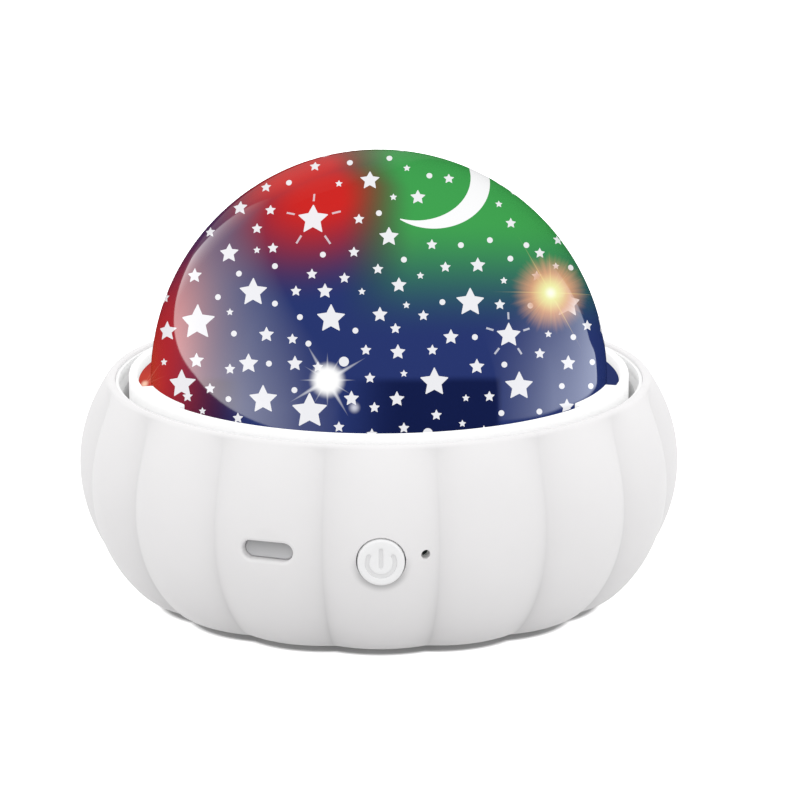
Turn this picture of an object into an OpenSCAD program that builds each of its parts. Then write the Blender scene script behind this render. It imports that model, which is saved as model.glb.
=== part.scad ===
// Star night light projector: a drop-in printed dome on a motor-driven turntable,
// carried by a sixteen-lobed base that holds the lamp, drive, battery and board.
// Frame: origin at the centre of the resting plane, +Z up, front (power button) faces -Y.

/* [Base shell] */
// Largest radius of the base, on the crest of a lobe
belly_r = 60; // [56:0.5:62]
// Radius of the arc that bulges the side of the base
side_arc_r = 31.1; // [30:0.1:34]
// Height of the widest point above the table
belly_z = 26.2; // [25:0.1:27]
// Height of the bottom edge of the shell above the table
shell_bottom_z = 1.0; // [0.8:0.1:1.4]
// Height of the rim of the shell above the table
rim_z = 44.2; // [44:0.1:44.6]
// Radius of the opening inside the rim
rim_in_r = 52.7; // [52.6:0.1:53]
// Radius of the rounding at the bottom edge
foot_round_r = 2.6; // [1.6:0.1:3]
// Number of lobes round the base
lobes = 16; // [16]
// Depth that the grooves between lobes would reach at the rim
groove_depth = 4.0; // [2:0.1:4]
// Share of that depth that is lost by the bottom edge
groove_loss = 0.6; // [0.4:0.05:0.8]
// How quickly the grooves run out below the rim, higher is quicker
groove_onset = 12; // [8:1:12]
// Least wall thickness of the shell
shell_wall = 2.0; // [1.6:0.1:2]
// Radius of the opening in the bottom, for the cover
cover_open_r = 42; // [42:0.1:42.4]

/* [Dome] */
// Outer radius of the dome
dome_r = 45.6; // [45:0.1:45.6]
// Height of the centre of the dome above the table
dome_z = 43.5; // [43.5]
// Wall thickness of the dome
dome_wall = 1.2; // [0.8:0.1:1.6]
// Radius of the brim that rests on the turntable
brim_r = 48.0; // [47.8:0.1:48]
// Thickness of the brim
brim_t = 1.2; // [1:0.1:1.2]
// Height that the dome can be lifted off
dome_lift = 60; // [20:5:80]

/* [Turntable] */
// Outer radius of the rotating collar
collar_r = 49.9; // [49:0.1:50]
// Wall thickness of the rotating collar
collar_t = 1.6; // [1.2:0.1:1.6]
// Height of the top of the collar above the table
collar_z = 45.2; // [45:0.1:45.4]
// Radius of the inner face of the lugs
lug_r = 46.2; // [46.1:0.1:46.6]
// Width of a lug as an angle in degrees
lug_angle = 20; // [12:1:20]
// Direction of the two front lugs from the front in degrees, one on each side
lug_side = 65; // [60:1:70]

/* [Button and openings] */
// Radius of the hole for the power button
button_hole_r = 4.75; // [4.6:0.05:5]
// Radius of the button cap
button_r = 4.5; // [4.2:0.05:4.5]
// Height of the centre of the button above the table
button_z = 23.0; // [23]
// How far the button stands out of the lobe
button_proud = 0.6; // [0.4:0.1:0.8]
// Travel of the button
button_travel = 0.5; // [0.3:0.1:0.5]
// Width of the charging slot
slot_w = 10.2; // [9.8:0.1:10.6]
// Height of the charging slot
slot_h = 3.7; // [3.6:0.1:4]
// Play of the dust plug in the charging slot
plug_play = 0.15; // [0.1:0.05:0.2]
// Distance that the dust plug can be pulled out
plug_travel = 16; // [8:1:30]
// Height of the centre of the charging slot above the table
slot_z = 23.8; // [23.8]
// Direction of the charging slot from the front in degrees
slot_angle = -21.6; // [-22.5:0.1:-21]
// Radius of the indicator hole
pinhole_r = 0.9; // [0.7:0.1:1]
// Height of the indicator hole above the table
pinhole_z = 23.8; // [23.6:0.1:24.2]
// Direction of the indicator hole from the front in degrees
pinhole_angle = 8.4; // [7.5:0.1:8.5]

/* [Drive] */
// Module of the gears
gear_module = 1.0; // [1]
// Teeth of the turntable gear
ring_teeth = 48; // [48]
// Teeth of the motor pinion
pinion_teeth = 12; // [12]
// Radius of the motor can
motor_r = 14; // [12:0.5:14]
// Height of the motor can
motor_h = 19; // [15:0.5:19]
// Distance from the centre of the can to its output shaft
motor_offset = 8; // [8]

/* [Power] */
// Radius of the battery cell
cell_r = 7.0; // [6.5:0.1:7]
// Length of the battery cell
cell_l = 50; // [44:1:50]
// Diameter of the internal leads
lead_d = 1.6; // [1.2:0.1:1.6]

/* [Hidden] */
$fn = 96;
eps = 0.01;

white = "whitesmoke";
dark = "dimgray";
steel = "silver";

// Base shell
lobe_half = 180 / lobes;
ring_points = lobes * 6;
bottom_steps = 4;
side_steps = 15;
rim_round = 0.7;
rim_out_r = 54.4;
cavity_step_z = 29;

// Button
cap_front_r = belly_r + button_proud;
flange_front_r = 53.8;

// Deck
deck_wall_out = rim_in_r - 0.1;
deck_wall_in = 51.2;
deck_lip_in = 52.0;
deck_top_z = rim_z - 0.6;
deck_floor_z = 31;
deck_floor_t = 2;
deck_under_z = deck_floor_z - deck_floor_t;
tube_in_r = 9;
tube_out_r = 13;
tube_top_z = 38.9;
deck_boss_r = 47.5;
deck_boss_angle = 45;

// Turntable
lug_directions = [lug_side, 180, -lug_side];
notch_play = 1.6;
table_z = 37.0;
table_t = 1.6;
table_top_z = table_z + table_t;
sleeve_in_r = tube_out_r + 0.05;
sleeve_out_r = 16;
sleeve_z = deck_floor_z + 0.55;
ledge_z = dome_z - brim_t - 0.2;
ledge_in_r = 44.8;
ledge_t = 1.4;

// Drive
ring_pitch_r = gear_module * ring_teeth / 2;
pinion_pitch_r = gear_module * pinion_teeth / 2;
shaft_y = ring_pitch_r + pinion_pitch_r;
motor_y = shaft_y - motor_offset;
shaft_r = 2.5;
shaft_play = 0.05;
shaft_top_z = 36.6;
motor_boss_r = 4.5;
ear_x = 17.5;
ring_z = 33;
ring_gear_h = table_z - ring_z;
pinion_z = 32.2;
gear_screw_r = 19;

// Lamp
column_flange_r = 14.5;
column_flange_t = 1.4;
seat_r = 12.5;
seat_z = tube_top_z + column_flange_t + 1.1;
led_board_r = 11;
led_board_t = 1.2;
led_size = 5;
led_h = 1.6;
led_ring_r = 5.9;
led_z = seat_z + led_board_t;
column_screw_r = 11;
led_screw_r = 9.3;

// Cover
cover_r = cover_open_r - 0.3;
cover_z = 1.2;
cover_t = 2.0;
cover_top_z = cover_z + cover_t;
foot_r = 5;
foot_ring_r = 33;
foot_h = cover_z + 0.6;
screw_ring_r = 37.5;
cover_head_h = 2.2;
boss_z = 5.2;
boss_top_z = 9.4;

// Electronics
board_t = 1.6;
socket_h = 3.26;
socket_w = 8.94;
socket_l = 7.3;
socket_front_r = 56.8;
board_z = slot_z + socket_h / 2;
board_back_y = -15;
board_front_y = -46;
board_half_x = 24;
board_boss_r = 3;
board_bosses = [[-20.5, -19], [20.5, -19], [13, -41]];
switch_w = 6;
switch_d = 4;
switch_h = 5;
switch_front_y = -50;
plunger_r = 1.6;
plunger_front_y = -51.6;
header_x = [-2, 6, 14];
header_w = 6;
header_d = 5;
header_h = 2.5;
plug_front_r = 57.7;
plug_back_r = socket_front_r + 0.05;
plug_sleeve_r = 52.5;

// Battery
cell_y = -23;
cradle_base = 1.0;
cell_z = cover_top_z + cradle_base + cell_r;

// Leads, as hand-placed points along each route
led_route = [[0, -1, 41.3], [0, -1, 37], [0, -1, 33], [0, -2, 29], [0, -5, 26],
    [-1, -9, 24.4], [-2, -12, 24.1], [-2, -15, 24.1]];
motor_route = [[5, 5, 16], [5, 2, 16], [5.5, -1, 17], [6, -4, 19.5], [6, -8, 22.5],
    [6, -12, 24.1], [6, -15, 24.1]];
battery_route = [[25.2, -23, 15], [27, -22.6, 15.4], [28, -21, 16.6], [27.6, -18.6, 18.2],
    [25.4, -15.6, 20], [21.6, -12.4, 22], [18, -10.6, 23.4], [15.4, -10.2, 24],
    [14.2, -11.6, 24.1], [14, -13.4, 24.1], [14, -15, 24.1]];

// Position at an angle from the front, measured towards +X
function at(r, a, z = 0) = [r * sin(a), -r * cos(a), z];

// Radius of the crest of a lobe at a height
function crest_r(z) =
    let (d = max(0, (shell_bottom_z + foot_round_r - z) / foot_round_r))
    belly_r - side_arc_r + sqrt(pow(side_arc_r, 2) - pow(z - belly_z, 2))
        - foot_round_r * (1 - sqrt(max(0, 1 - d * d)));

// Depth of the groove between two lobes at a height
function groove(z) =
    let (t = min(1, max(0, (rim_z - z) / (rim_z - shell_bottom_z))))
    groove_depth * (1 - pow(1 - t, groove_onset)) * (1 - groove_loss * t);

// Radius of the lobed outline at an angle: each lobe is an arc between two grooves
function lobe_r(crest, depth, a) =
    let (
        valley = crest - max(depth, 0.02),
        c = (crest * crest - valley * valley) / (2 * (crest - valley * cos(lobe_half))),
        rho = crest - c,
        b = ((a + lobe_half + 360) % (2 * lobe_half)) - lobe_half
    )
    c * cos(b) + sqrt(rho * rho - pow(c * sin(b), 2));

// Heights of the rings of the shell, from the bottom edge to the rim
function shell_heights() = concat(
    [for (i = [0 : bottom_steps]) shell_bottom_z + foot_round_r * (1 - cos(90 * i / bottom_steps))],
    [for (i = [1 : side_steps])
        let (z0 = shell_bottom_z + foot_round_r, z1 = rim_z - rim_round)
        z0 + (z1 - z0) * sin(90 * i / side_steps)]
);

// Rings of points of the outer skin, with a rounded rim on top. The first and last ring lie inside
// the two round openings, which cut them away.
function shell_rings() =
    let (hs = shell_heights())
    concat(
        [[for (i = [0 : ring_points - 1]) at(cover_open_r - 2, 360 * i / ring_points, shell_bottom_z)]],
        [for (z = hs) [for (i = [0 : ring_points - 1])
            let (a = 360 * i / ring_points, r = lobe_r(crest_r(z), groove(z), a))
            at(z > belly_z ? max(r, min(rim_out_r, crest_r(z))) : r, a, z)]],
        [for (k = [1 : 3]) [for (i = [0 : ring_points - 1])
            let (q = 30 * k)
            at(rim_out_r - rim_round * (1 - cos(q)), 360 * i / ring_points,
                rim_z - rim_round * (1 - sin(q)))]],
        [[for (i = [0 : ring_points - 1]) at(rim_in_r - 2, 360 * i / ring_points, rim_z)]]
    );

// Closed solid through a stack of rings that all have the same number of points
module skin(rings) {
    n = len(rings[0]);
    m = len(rings);
    points = [for (ring = rings) each ring];
    sides = [for (j = [0 : m - 2], i = [0 : n - 1], upper = [false, true])
        let (k = (i + 1) % n, a = j * n + i, b = a + n, c = (j + 1) * n + k, d = c - n)
        upper ? [a, b, c] : [a, c, d]];
    bottom = [[for (i = [0 : n - 1]) i]];
    top = [[for (i = [0 : n - 1]) (m - 1) * n + n - 1 - i]];
    polyhedron(points = points, faces = concat(bottom, sides, top), convexity = 6);
}

// Points of a gear outline with involute flanks, tooth centred on angle 0
function inv_angle(r, base) = r <= base ? 0 : let (t = sqrt(pow(r / base, 2) - 1)) t * 180 / PI - atan(t);
function gear_outline(teeth, play) =
    let (
        pitch = gear_module * teeth / 2,
        base = pitch * cos(20),
        tip = pitch + 0.8 * gear_module,
        root = pitch - 1.15 * gear_module,
        half = 90 / teeth - play / pitch * 180 / PI / 2 + inv_angle(pitch, base),
        radii = [root, max(root + 0.1, base), (max(root + 0.1, base) + tip) / 2, tip]
    )
    [for (k = [0 : teeth - 1], s = [-1, 1], i = [0 : 3])
        let (r = radii[s < 0 ? i : 3 - i], a = k * 360 / teeth + s * (half - inv_angle(r, base)))
        r * [cos(a), sin(a)]];

// Tube swept along a route of points with eight sides. No stretch of the route runs along side.
function unit(v) = v / norm(v);
module lead(route, side) {
    n = len(route);
    sides = 8;
    rings = [for (j = [0 : n - 1])
        let (
            d = unit(route[min(n - 1, j + 1)] - route[max(0, j - 1)]),
            u = unit(cross(d, side)),
            v = cross(d, u)
        )
        [for (i = [0 : sides - 1])
            let (a = 360 * i / sides)
            route[j] + lead_d / 2 * (cos(a) * u + sin(a) * v)]];
    skin(rings);
}

// Flat outline with fully rounded ends
module stadium(w, h) {
    square([w - h, h], center = true);
    for (s = [-1, 1]) translate([s * (w - h) / 2, 0]) circle(d = h);
}

// Screw with a pan head whose underside is at z = 0, shank pointing up
module screw(head_r, head_h, shank_r, length) {
    translate([0, 0, -head_h]) difference() {
        cylinder(r = head_r, h = head_h, $fn = 32);
        translate([0, 0, -eps]) for (a = [0, 90]) rotate(a)
            cube([head_r * 1.2, 0.5, head_h], center = true);
    }
    cylinder(r = shank_r, h = length, $fn = 24);
}

// Places children at an angle from the front and a radius, facing outwards along -Y
module around(r, a, z = 0) translate(at(r, a, z)) rotate(a) children();

// Copies children at four diagonal or straight directions
module four(r, from, z = 0) for (k = [0 : 3]) around(r, from + 90 * k, z) children();

// Slot cutter that runs outwards from a radius, with its centre at the slot height
module slot_cut(grow, r0, r1) around(r0, slot_angle, slot_z) rotate([90, 0, 0])
    linear_extrude(r1 - r0) stadium(slot_w + 2 * grow, slot_h + 2 * grow);

module shell_cavity() {
    // Lower cavity follows the grooves at one wall thickness
    rotate_extrude() polygon(concat(
        [[0, cover_z + cover_t + 0.6]],
        [for (z = [cover_z + cover_t + 0.6, 6, 10, 15, 20, 25, cavity_step_z])
            [crest_r(z) - groove(z) - shell_wall, z]],
        [[0, cavity_step_z]]
    ));
    translate([0, 0, cavity_step_z - eps]) cylinder(r = rim_in_r, h = 20);
    translate([0, 0, -1]) cylinder(r = cover_open_r, h = 6);
}

module base_shell() color(white) {
    difference() {
        skin(shell_rings());
        shell_cavity();
        translate([0, -40, button_z]) rotate([90, 0, 0]) cylinder(r = button_hole_r, h = 30);
        around(40, pinhole_angle, pinhole_z) rotate([90, 0, 0]) cylinder(r = pinhole_r, h = 30);
        slot_cut(0, 48, 66);
        slot_cut(0.75, belly_r - 0.7, 66);
    }
    // Bosses for the cover screws, each tied to the wall by a rib
    four(screw_ring_r, 0, boss_z) difference() {
        union() {
            cylinder(r = 3, h = boss_top_z - boss_z);
            translate([-1, -12.6, 0.6]) cube([2, 11, boss_top_z - boss_z - 0.6]);
        }
        translate([0, 0, -eps]) cylinder(r = 0.95, h = 4.4, $fn = 32);
    }
    // Bosses that carry the deck
    four(deck_boss_r, deck_boss_angle, cavity_step_z - 7) difference() {
        union() {
            cylinder(r = 3.2, h = 7);
            translate([-1.2, -8.6, 0]) cube([2.4, 7, 6.4]);
        }
        translate([0, 0, 1]) cylinder(r = 0.95, h = 7, $fn = 32);
    }
}

module bottom_cover() color(white) difference() {
    union() {
        translate([0, 0, cover_z]) cylinder(r = cover_r, h = cover_t);
        four(screw_ring_r, 0, cover_z) cylinder(r = 4, h = boss_z - cover_z);
    }
    four(screw_ring_r, 0, cover_z - 1) cylinder(r = 2.4, h = 1 + cover_head_h, $fn = 48);
    four(screw_ring_r, 0, cover_z) cylinder(r = 1.15, h = 6, $fn = 32);
    four(foot_ring_r, 45, cover_z - eps) cylinder(r = foot_r + 0.1, h = 0.6 + eps);
}

module rubber_feet() color("gainsboro") four(foot_ring_r, 45) rotate_extrude() {
    square([foot_r - 0.5, foot_h]);
    translate([0, 0.5]) square([foot_r, foot_h - 0.5]);
    translate([foot_r - 0.5, 0.5]) circle(r = 0.5, $fn = 32);
}

module cover_screws() color(steel) four(screw_ring_r, 0, cover_z + cover_head_h) screw(2.1, 1.4, 0.9, 5.6);

module inner_deck() color(white) difference() {
    union() {
        // Bowl: wall, chamfered lip and floor
        rotate_extrude() polygon([
            [tube_in_r, deck_under_z], [deck_wall_out, deck_under_z], [deck_wall_out, deck_top_z],
            [deck_lip_in, deck_top_z], [deck_lip_in, deck_top_z - 2.2], [deck_wall_in, deck_top_z - 3],
            [deck_wall_in, deck_floor_z], [tube_in_r, deck_floor_z]
        ]);
        // Tube that the turntable runs on
        translate([0, 0, deck_under_z]) difference() {
            cylinder(r = tube_out_r, h = tube_top_z - deck_under_z);
            translate([0, 0, -eps]) cylinder(r = tube_in_r, h = 12);
        }
        // Bosses for the motor screws above, and for the board below
        for (s = [-1, 1]) translate([s * ear_x, motor_y, deck_floor_z - eps]) cylinder(r = 3, h = 1.4);
        for (p = board_bosses) translate([p[0], p[1], board_z + board_t])
            cylinder(r = board_boss_r, h = deck_under_z - board_z - board_t + eps);
    }
    translate([0, shaft_y, deck_under_z - 1]) cylinder(r = motor_boss_r + 0.2, h = 4);
    for (s = [-1, 1]) translate([s * ear_x, motor_y, deck_under_z - 1]) cylinder(r = 1.25, h = 4.1, $fn = 32);
    for (p = board_bosses) translate([p[0], p[1], deck_under_z - 4]) cylinder(r = 0.95, h = 5, $fn = 32);
    for (k = [0 : 2]) around(column_screw_r, 120 * k + 60, tube_top_z - 5) cylinder(r = 0.85, h = 6, $fn = 32);
    four(deck_boss_r, deck_boss_angle, deck_under_z - 1) cylinder(r = 1.15, h = 4, $fn = 32);
}

module deck_screws() color(steel) four(deck_boss_r, deck_boss_angle, deck_floor_z)
    mirror([0, 0, 1]) screw(2.0, 1.3, 0.9, 6);

module turntable() color(white) {
    difference() {
        union() {
            // Disc, collar and the ledge that the brim of the dome rests on
            rotate_extrude() polygon([
                [sleeve_in_r, table_z], [collar_r, table_z], [collar_r, collar_z - 0.5],
                [collar_r - 0.5, collar_z], [collar_r - collar_t + 0.4, collar_z],
                [collar_r - collar_t, collar_z - 0.4], [collar_r - collar_t, ledge_z],
                [ledge_in_r, ledge_z], [ledge_in_r, ledge_z - ledge_t], [collar_r - collar_t, ledge_z - ledge_t],
                [collar_r - collar_t, table_top_z], [sleeve_in_r, table_top_z]
            ]);
            // Hub sleeve
            translate([0, 0, sleeve_z]) difference() {
                cylinder(r = sleeve_out_r, h = table_z - sleeve_z + eps);
                translate([0, 0, -1]) cylinder(r = sleeve_in_r, h = 10);
            }
        }
        for (k = [0 : 2]) around(gear_screw_r, 120 * k, table_z - 1) cylinder(r = 1.0, h = 4, $fn = 32);
    }
    // Lugs that key the dome
    for (a = lug_directions) rotate(a - lug_angle / 2 - 90)
        rotate_extrude(angle = lug_angle)
            translate([lug_r, ledge_z - eps]) square([collar_r - collar_t - lug_r + 0.3, collar_z - ledge_z - 0.2]);
}

module turntable_gear() color("ivory") translate([0, 0, ring_z]) difference() {
    linear_extrude(ring_gear_h) polygon(gear_outline(ring_teeth, 0.2));
    translate([0, 0, -1]) cylinder(r = sleeve_out_r + 0.05, h = ring_gear_h + 2);
    for (k = [0 : 2]) around(gear_screw_r, 120 * k, 0.8) cylinder(r = 0.85, h = 6, $fn = 32);
}

module gear_screws() color(steel) for (k = [0 : 2]) around(gear_screw_r, 120 * k, table_top_z)
    mirror([0, 0, 1]) screw(1.7, 1.1, 0.8, 4.0);

module thrust_washer() color("white") translate([0, 0, deck_floor_z]) difference() {
    cylinder(r = sleeve_out_r, h = 0.5);
    translate([0, 0, -1]) cylinder(r = tube_out_r + 0.1, h = 3);
}

module gear_motor() color(steel) difference() {
    union() {
        translate([0, motor_y, deck_under_z - motor_h]) cylinder(r = motor_r, h = motor_h);
        translate([0, shaft_y, deck_under_z - eps]) cylinder(r = motor_boss_r, h = 1.5);
        // Ears
        translate([-ear_x, motor_y - 3.5, deck_under_z - 0.8]) cube([2 * ear_x, 7, 0.8]);
        for (s = [-1, 1]) translate([s * ear_x, motor_y, deck_under_z - 0.8]) cylinder(r = 3.5, h = 0.8);
        // Terminal box
        translate([-8.5, motor_y - motor_r - 3, deck_under_z - motor_h + 1]) cube([17, 8, 16]);
    }
    translate([0, shaft_y, deck_under_z - 5]) cylinder(r = shaft_r + shaft_play, h = 8);
    for (s = [-1, 1]) translate([s * ear_x, motor_y, 20]) cylinder(r = 1.5, h = 12, $fn = 32);
}

module motor_screws() color(steel) for (s = [-1, 1])
    translate([s * ear_x, motor_y, deck_under_z - 0.8]) screw(2.6, 1.5, 1.2, 3.6);

module motor_shaft() color("gold") translate([0, shaft_y, deck_under_z - 4.8]) difference() {
    cylinder(r = shaft_r, h = shaft_top_z - deck_under_z + 4.8);
    for (s = [-1, 1]) translate([s * 2.5 - 1, -3, 7.6]) cube([2, 6, 8]);
}

module drive_pinion() color("ivory") translate([0, shaft_y, pinion_z]) difference() {
    linear_extrude(shaft_top_z - pinion_z) rotate(180 / pinion_teeth + 90)
        polygon(gear_outline(pinion_teeth, 0.2));
    translate([0, 0, -1]) intersection() {
        cylinder(r = shaft_r, h = 8);
        translate([-1.5, -3, 0]) cube([3, 6, 8]);
    }
}

module led_column() color(white) difference() {
    union() {
        // Spigot inside the deck tube, flange over the turntable hub, seat for the board
        translate([0, 0, 33]) cylinder(r = tube_in_r - 0.1, h = tube_top_z - 33 + eps);
        translate([0, 0, tube_top_z]) cylinder(r = column_flange_r, h = column_flange_t);
        translate([0, 0, tube_top_z]) cylinder(r = seat_r, h = seat_z - tube_top_z);
    }
    translate([0, 0, 32]) cylinder(r = 6.8, h = 12);
    for (k = [0 : 2]) around(column_screw_r, 120 * k + 60, tube_top_z - 1) {
        cylinder(r = 1.0, h = 4, $fn = 32);
        translate([0, 0, 1 + column_flange_t]) cylinder(r = 1.6, h = 4, $fn = 32);
    }
    for (k = [0 : 2]) around(led_screw_r, 120 * k, seat_z - 2.3) cylinder(r = 0.7, h = 4, $fn = 32);
}

module column_screws() color(steel) for (k = [0 : 2])
    around(column_screw_r, 120 * k + 60, tube_top_z + column_flange_t) mirror([0, 0, 1]) screw(1.4, 0.9, 0.8, 5.6);

module led_board() color("white") translate([0, 0, seat_z]) difference() {
    cylinder(r = led_board_r, h = led_board_t);
    for (k = [0 : 2]) around(led_screw_r, 120 * k, -1) cylinder(r = 0.8, h = 4, $fn = 32);
    translate([0, -1, -1]) cylinder(r = lead_d / 2 + 0.1, h = 0.9, $fn = 24);
}

module led_board_screws() color(steel) for (k = [0 : 2])
    around(led_screw_r, 120 * k, seat_z + led_board_t) mirror([0, 0, 1]) screw(1.2, 0.7, 0.65, 3.2);

// Surface-mount lamp with a round window
module led_package() difference() {
    translate([-led_size / 2, -led_size / 2, 0]) cube([led_size, led_size, led_h]);
    translate([0, 0, led_h - 0.3]) cylinder(r = 1.9, h = 1, $fn = 48);
}

module led_red() color("tomato") around(led_ring_r, 60, led_z) led_package();
module led_green() color("limegreen") around(led_ring_r, 180, led_z) led_package();
module led_blue() color("royalblue") around(led_ring_r, 300, led_z) led_package();
module led_warm_white() color("khaki") translate([0, 0, led_z]) cylinder(r = 1.6, h = 1.4, $fn = 48);

module dome_cover() color("midnightblue") translate([0, 0, dome_z]) {
    difference() {
        sphere(r = dome_r, $fn = 128);
        sphere(r = dome_r - dome_wall, $fn = 128);
        translate([-100, -100, -200]) cube([200, 200, 200]);
    }
    // Brim with a notch at each lug
    difference() {
        translate([0, 0, -brim_t]) cylinder(r = brim_r, h = brim_t);
        translate([0, 0, -5]) cylinder(r = dome_r - dome_wall, h = 10);
        for (a = lug_directions) rotate(a - (lug_angle + notch_play) / 2 - 90)
            rotate_extrude(angle = lug_angle + notch_play)
                translate([lug_r - 0.3, -4]) square([6, 8]);
    }
}

module power_button() color(white) translate([0, 0, button_z]) rotate([90, 0, 0]) difference() {
    union() {
        translate([0, 0, flange_front_r]) cylinder(r = button_r, h = cap_front_r - flange_front_r - 0.4);
        translate([0, 0, flange_front_r]) cylinder(r = button_r - 0.4, h = cap_front_r - flange_front_r);
        translate([0, 0, flange_front_r - 1]) cylinder(r = 5.6, h = 1 + eps);
        translate([0, 0, -plunger_front_y + 0.1]) cylinder(r = 2, h = 2);
    }
    // Power mark sunk into the face
    translate([0, 0, cap_front_r - 0.3]) linear_extrude(2) power_mark();
}

module power_mark() {
    difference() {
        circle(r = 3.05);
        circle(r = 2.25);
        polygon([[0, 0], [-7, 4], [-7, 8], [7, 8], [7, 4]]);
    }
    translate([-0.42, -1.0]) square([0.84, 3.7]);
}

module tact_switch() color("black") difference() {
    translate([-switch_w / 2, switch_front_y, board_z - switch_h]) cube([switch_w, switch_d, switch_h]);
    translate([0, switch_front_y + 1.4, button_z]) rotate([90, 0, 0]) cylinder(r = plunger_r + 0.05, h = 4, $fn = 48);
}

module switch_plunger() color("ivory") translate([0, switch_front_y + 0.6, button_z]) rotate([90, 0, 0])
    cylinder(r = plunger_r, h = switch_front_y + 0.6 - plunger_front_y, $fn = 48);

module main_board() color("seagreen") difference() {
    translate([0, 0, board_z]) linear_extrude(board_t) {
        translate([-board_half_x, board_front_y]) square([2 * board_half_x, board_back_y - board_front_y]);
        translate([-5, -51]) square([14, 10]);
        rotate(slot_angle) translate([-6.5, -53.2]) square([13, 20]);
    }
    for (p = board_bosses) translate([p[0], p[1], board_z - 1]) cylinder(r = 1.15, h = 4, $fn = 32);
}

module board_screws() color(steel) for (p = board_bosses)
    translate([p[0], p[1], board_z]) screw(1.9, 1.2, 0.9, 4.4);

module usb_socket() color(steel) around(socket_front_r, slot_angle, slot_z) rotate([90, 0, 0])
    translate([0, 0, -socket_l]) difference() {
        linear_extrude(socket_l) stadium(socket_w, socket_h);
        translate([0, 0, 0.8]) linear_extrude(socket_l) stadium(socket_w - 0.6, socket_h - 0.6);
    }

module usb_tongue() color(dark) around(socket_front_r, slot_angle, slot_z) rotate([90, 0, 0])
    translate([-3.3, -0.35, 0.8 - socket_l]) cube([6.6, 0.7, socket_l - 1.5]);

// Silicone plug that closes the charging slot, with a sleeve round the contact tongue
module port_plug() color("lightgray") around(0, slot_angle, slot_z) rotate([90, 0, 0]) {
    translate([0, 0, plug_back_r]) linear_extrude(plug_front_r - plug_back_r)
        stadium(slot_w - 2 * plug_play, slot_h - 2 * plug_play);
    translate([0, 0, plug_sleeve_r]) linear_extrude(plug_back_r - plug_sleeve_r + eps) difference() {
        stadium(socket_w - 0.8, socket_h - 0.8);
        stadium(7.2, 1.1);
    }
}

module indicator_led() color("ivory") around(50.2, pinhole_angle, board_z - 2.2)
    translate([-0.9, -0.6, 0]) cube([1.8, 1.2, 2.2]);

module control_chip() color("black") translate([-15, -38, board_z - 1.6]) cube([10, 4, 1.6]);
module board_inductor() color(dark) translate([-16, -27, board_z - 2.4]) cube([6, 6, 2.4]);
module board_capacitor() color(steel) translate([6, -33, board_z - 2.8]) cylinder(r = 2.5, h = 2.8, $fn = 48);

module board_headers() color("ivory") for (x = header_x)
    translate([x - header_w / 2, board_back_y - header_d, board_z - header_h])
        cube([header_w, header_d, header_h]);

module battery_cell() color("deepskyblue") translate([-cell_l / 2, cell_y, cell_z]) rotate([0, 90, 0])
    cylinder(r = cell_r, h = cell_l);

module battery_cradle() color(white) difference() {
    translate([-cell_l / 2 - 2, cell_y - cell_r - 1.2, cover_top_z])
        cube([cell_l + 4, 2 * cell_r + 2.4, cell_z - cover_top_z]);
    translate([-cell_l / 2 - 0.4, cell_y, cell_z]) rotate([0, 90, 0]) cylinder(r = cell_r + 0.1, h = cell_l + 0.8);
}

module battery_strap() color(dark) translate([-5, cell_y, cell_z]) rotate([0, 90, 0]) rotate(90)
    rotate_extrude(angle = 180) translate([cell_r + 0.05, 0]) square([0.7, 10]);

module led_lead() color("crimson") lead(led_route, [1, 0, 0]);
module motor_lead() color("orange") lead(motor_route, [1, 0, 0]);
module battery_lead() color("crimson") lead(battery_route, [0, 0, 1]);

base_shell();
bottom_cover();
rubber_feet();
cover_screws();
inner_deck();
deck_screws();
turntable();
turntable_gear();
gear_screws();
thrust_washer();
gear_motor();
motor_screws();
motor_shaft();
drive_pinion();
led_column();
column_screws();
led_board();
led_board_screws();
led_red();
led_green();
led_blue();
led_warm_white();
dome_cover();
power_button();
tact_switch();
switch_plunger();
main_board();
board_screws();
usb_socket();
usb_tongue();
port_plug();
indicator_led();
control_chip();
board_inductor();
board_capacitor();
board_headers();
battery_cell();
battery_cradle();
battery_strap();
led_lead();
motor_lead();
battery_lead();
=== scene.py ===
"""Looks of the star night light projector: printed dome, lobed base, button, lamp and materials.

Shapes are drawn in millimetres, in the frame of the CAD model, and Build.piece() turns them into metres.
Directions round the object are degrees from the front (-Y), positive towards +X.
"""
import math
import random

import bmesh
import bpy
import numpy as np
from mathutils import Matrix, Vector, geometry


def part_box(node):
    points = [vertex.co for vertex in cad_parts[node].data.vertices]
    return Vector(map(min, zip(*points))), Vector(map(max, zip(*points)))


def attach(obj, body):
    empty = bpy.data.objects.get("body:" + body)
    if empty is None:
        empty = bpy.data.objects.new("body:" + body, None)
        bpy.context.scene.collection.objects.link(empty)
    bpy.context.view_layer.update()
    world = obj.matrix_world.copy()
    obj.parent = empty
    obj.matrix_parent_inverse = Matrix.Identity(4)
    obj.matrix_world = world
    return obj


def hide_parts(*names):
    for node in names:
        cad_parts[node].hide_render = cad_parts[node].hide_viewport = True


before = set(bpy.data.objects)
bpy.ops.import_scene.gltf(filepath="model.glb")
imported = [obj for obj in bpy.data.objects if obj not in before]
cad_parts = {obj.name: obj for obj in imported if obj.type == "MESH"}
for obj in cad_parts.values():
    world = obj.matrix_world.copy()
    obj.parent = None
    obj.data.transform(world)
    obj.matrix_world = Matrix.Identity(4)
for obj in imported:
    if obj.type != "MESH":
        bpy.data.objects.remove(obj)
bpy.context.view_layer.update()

MM = 0.001

# ---------------------------------------------------------------- sizes, as in the CAD model

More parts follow.
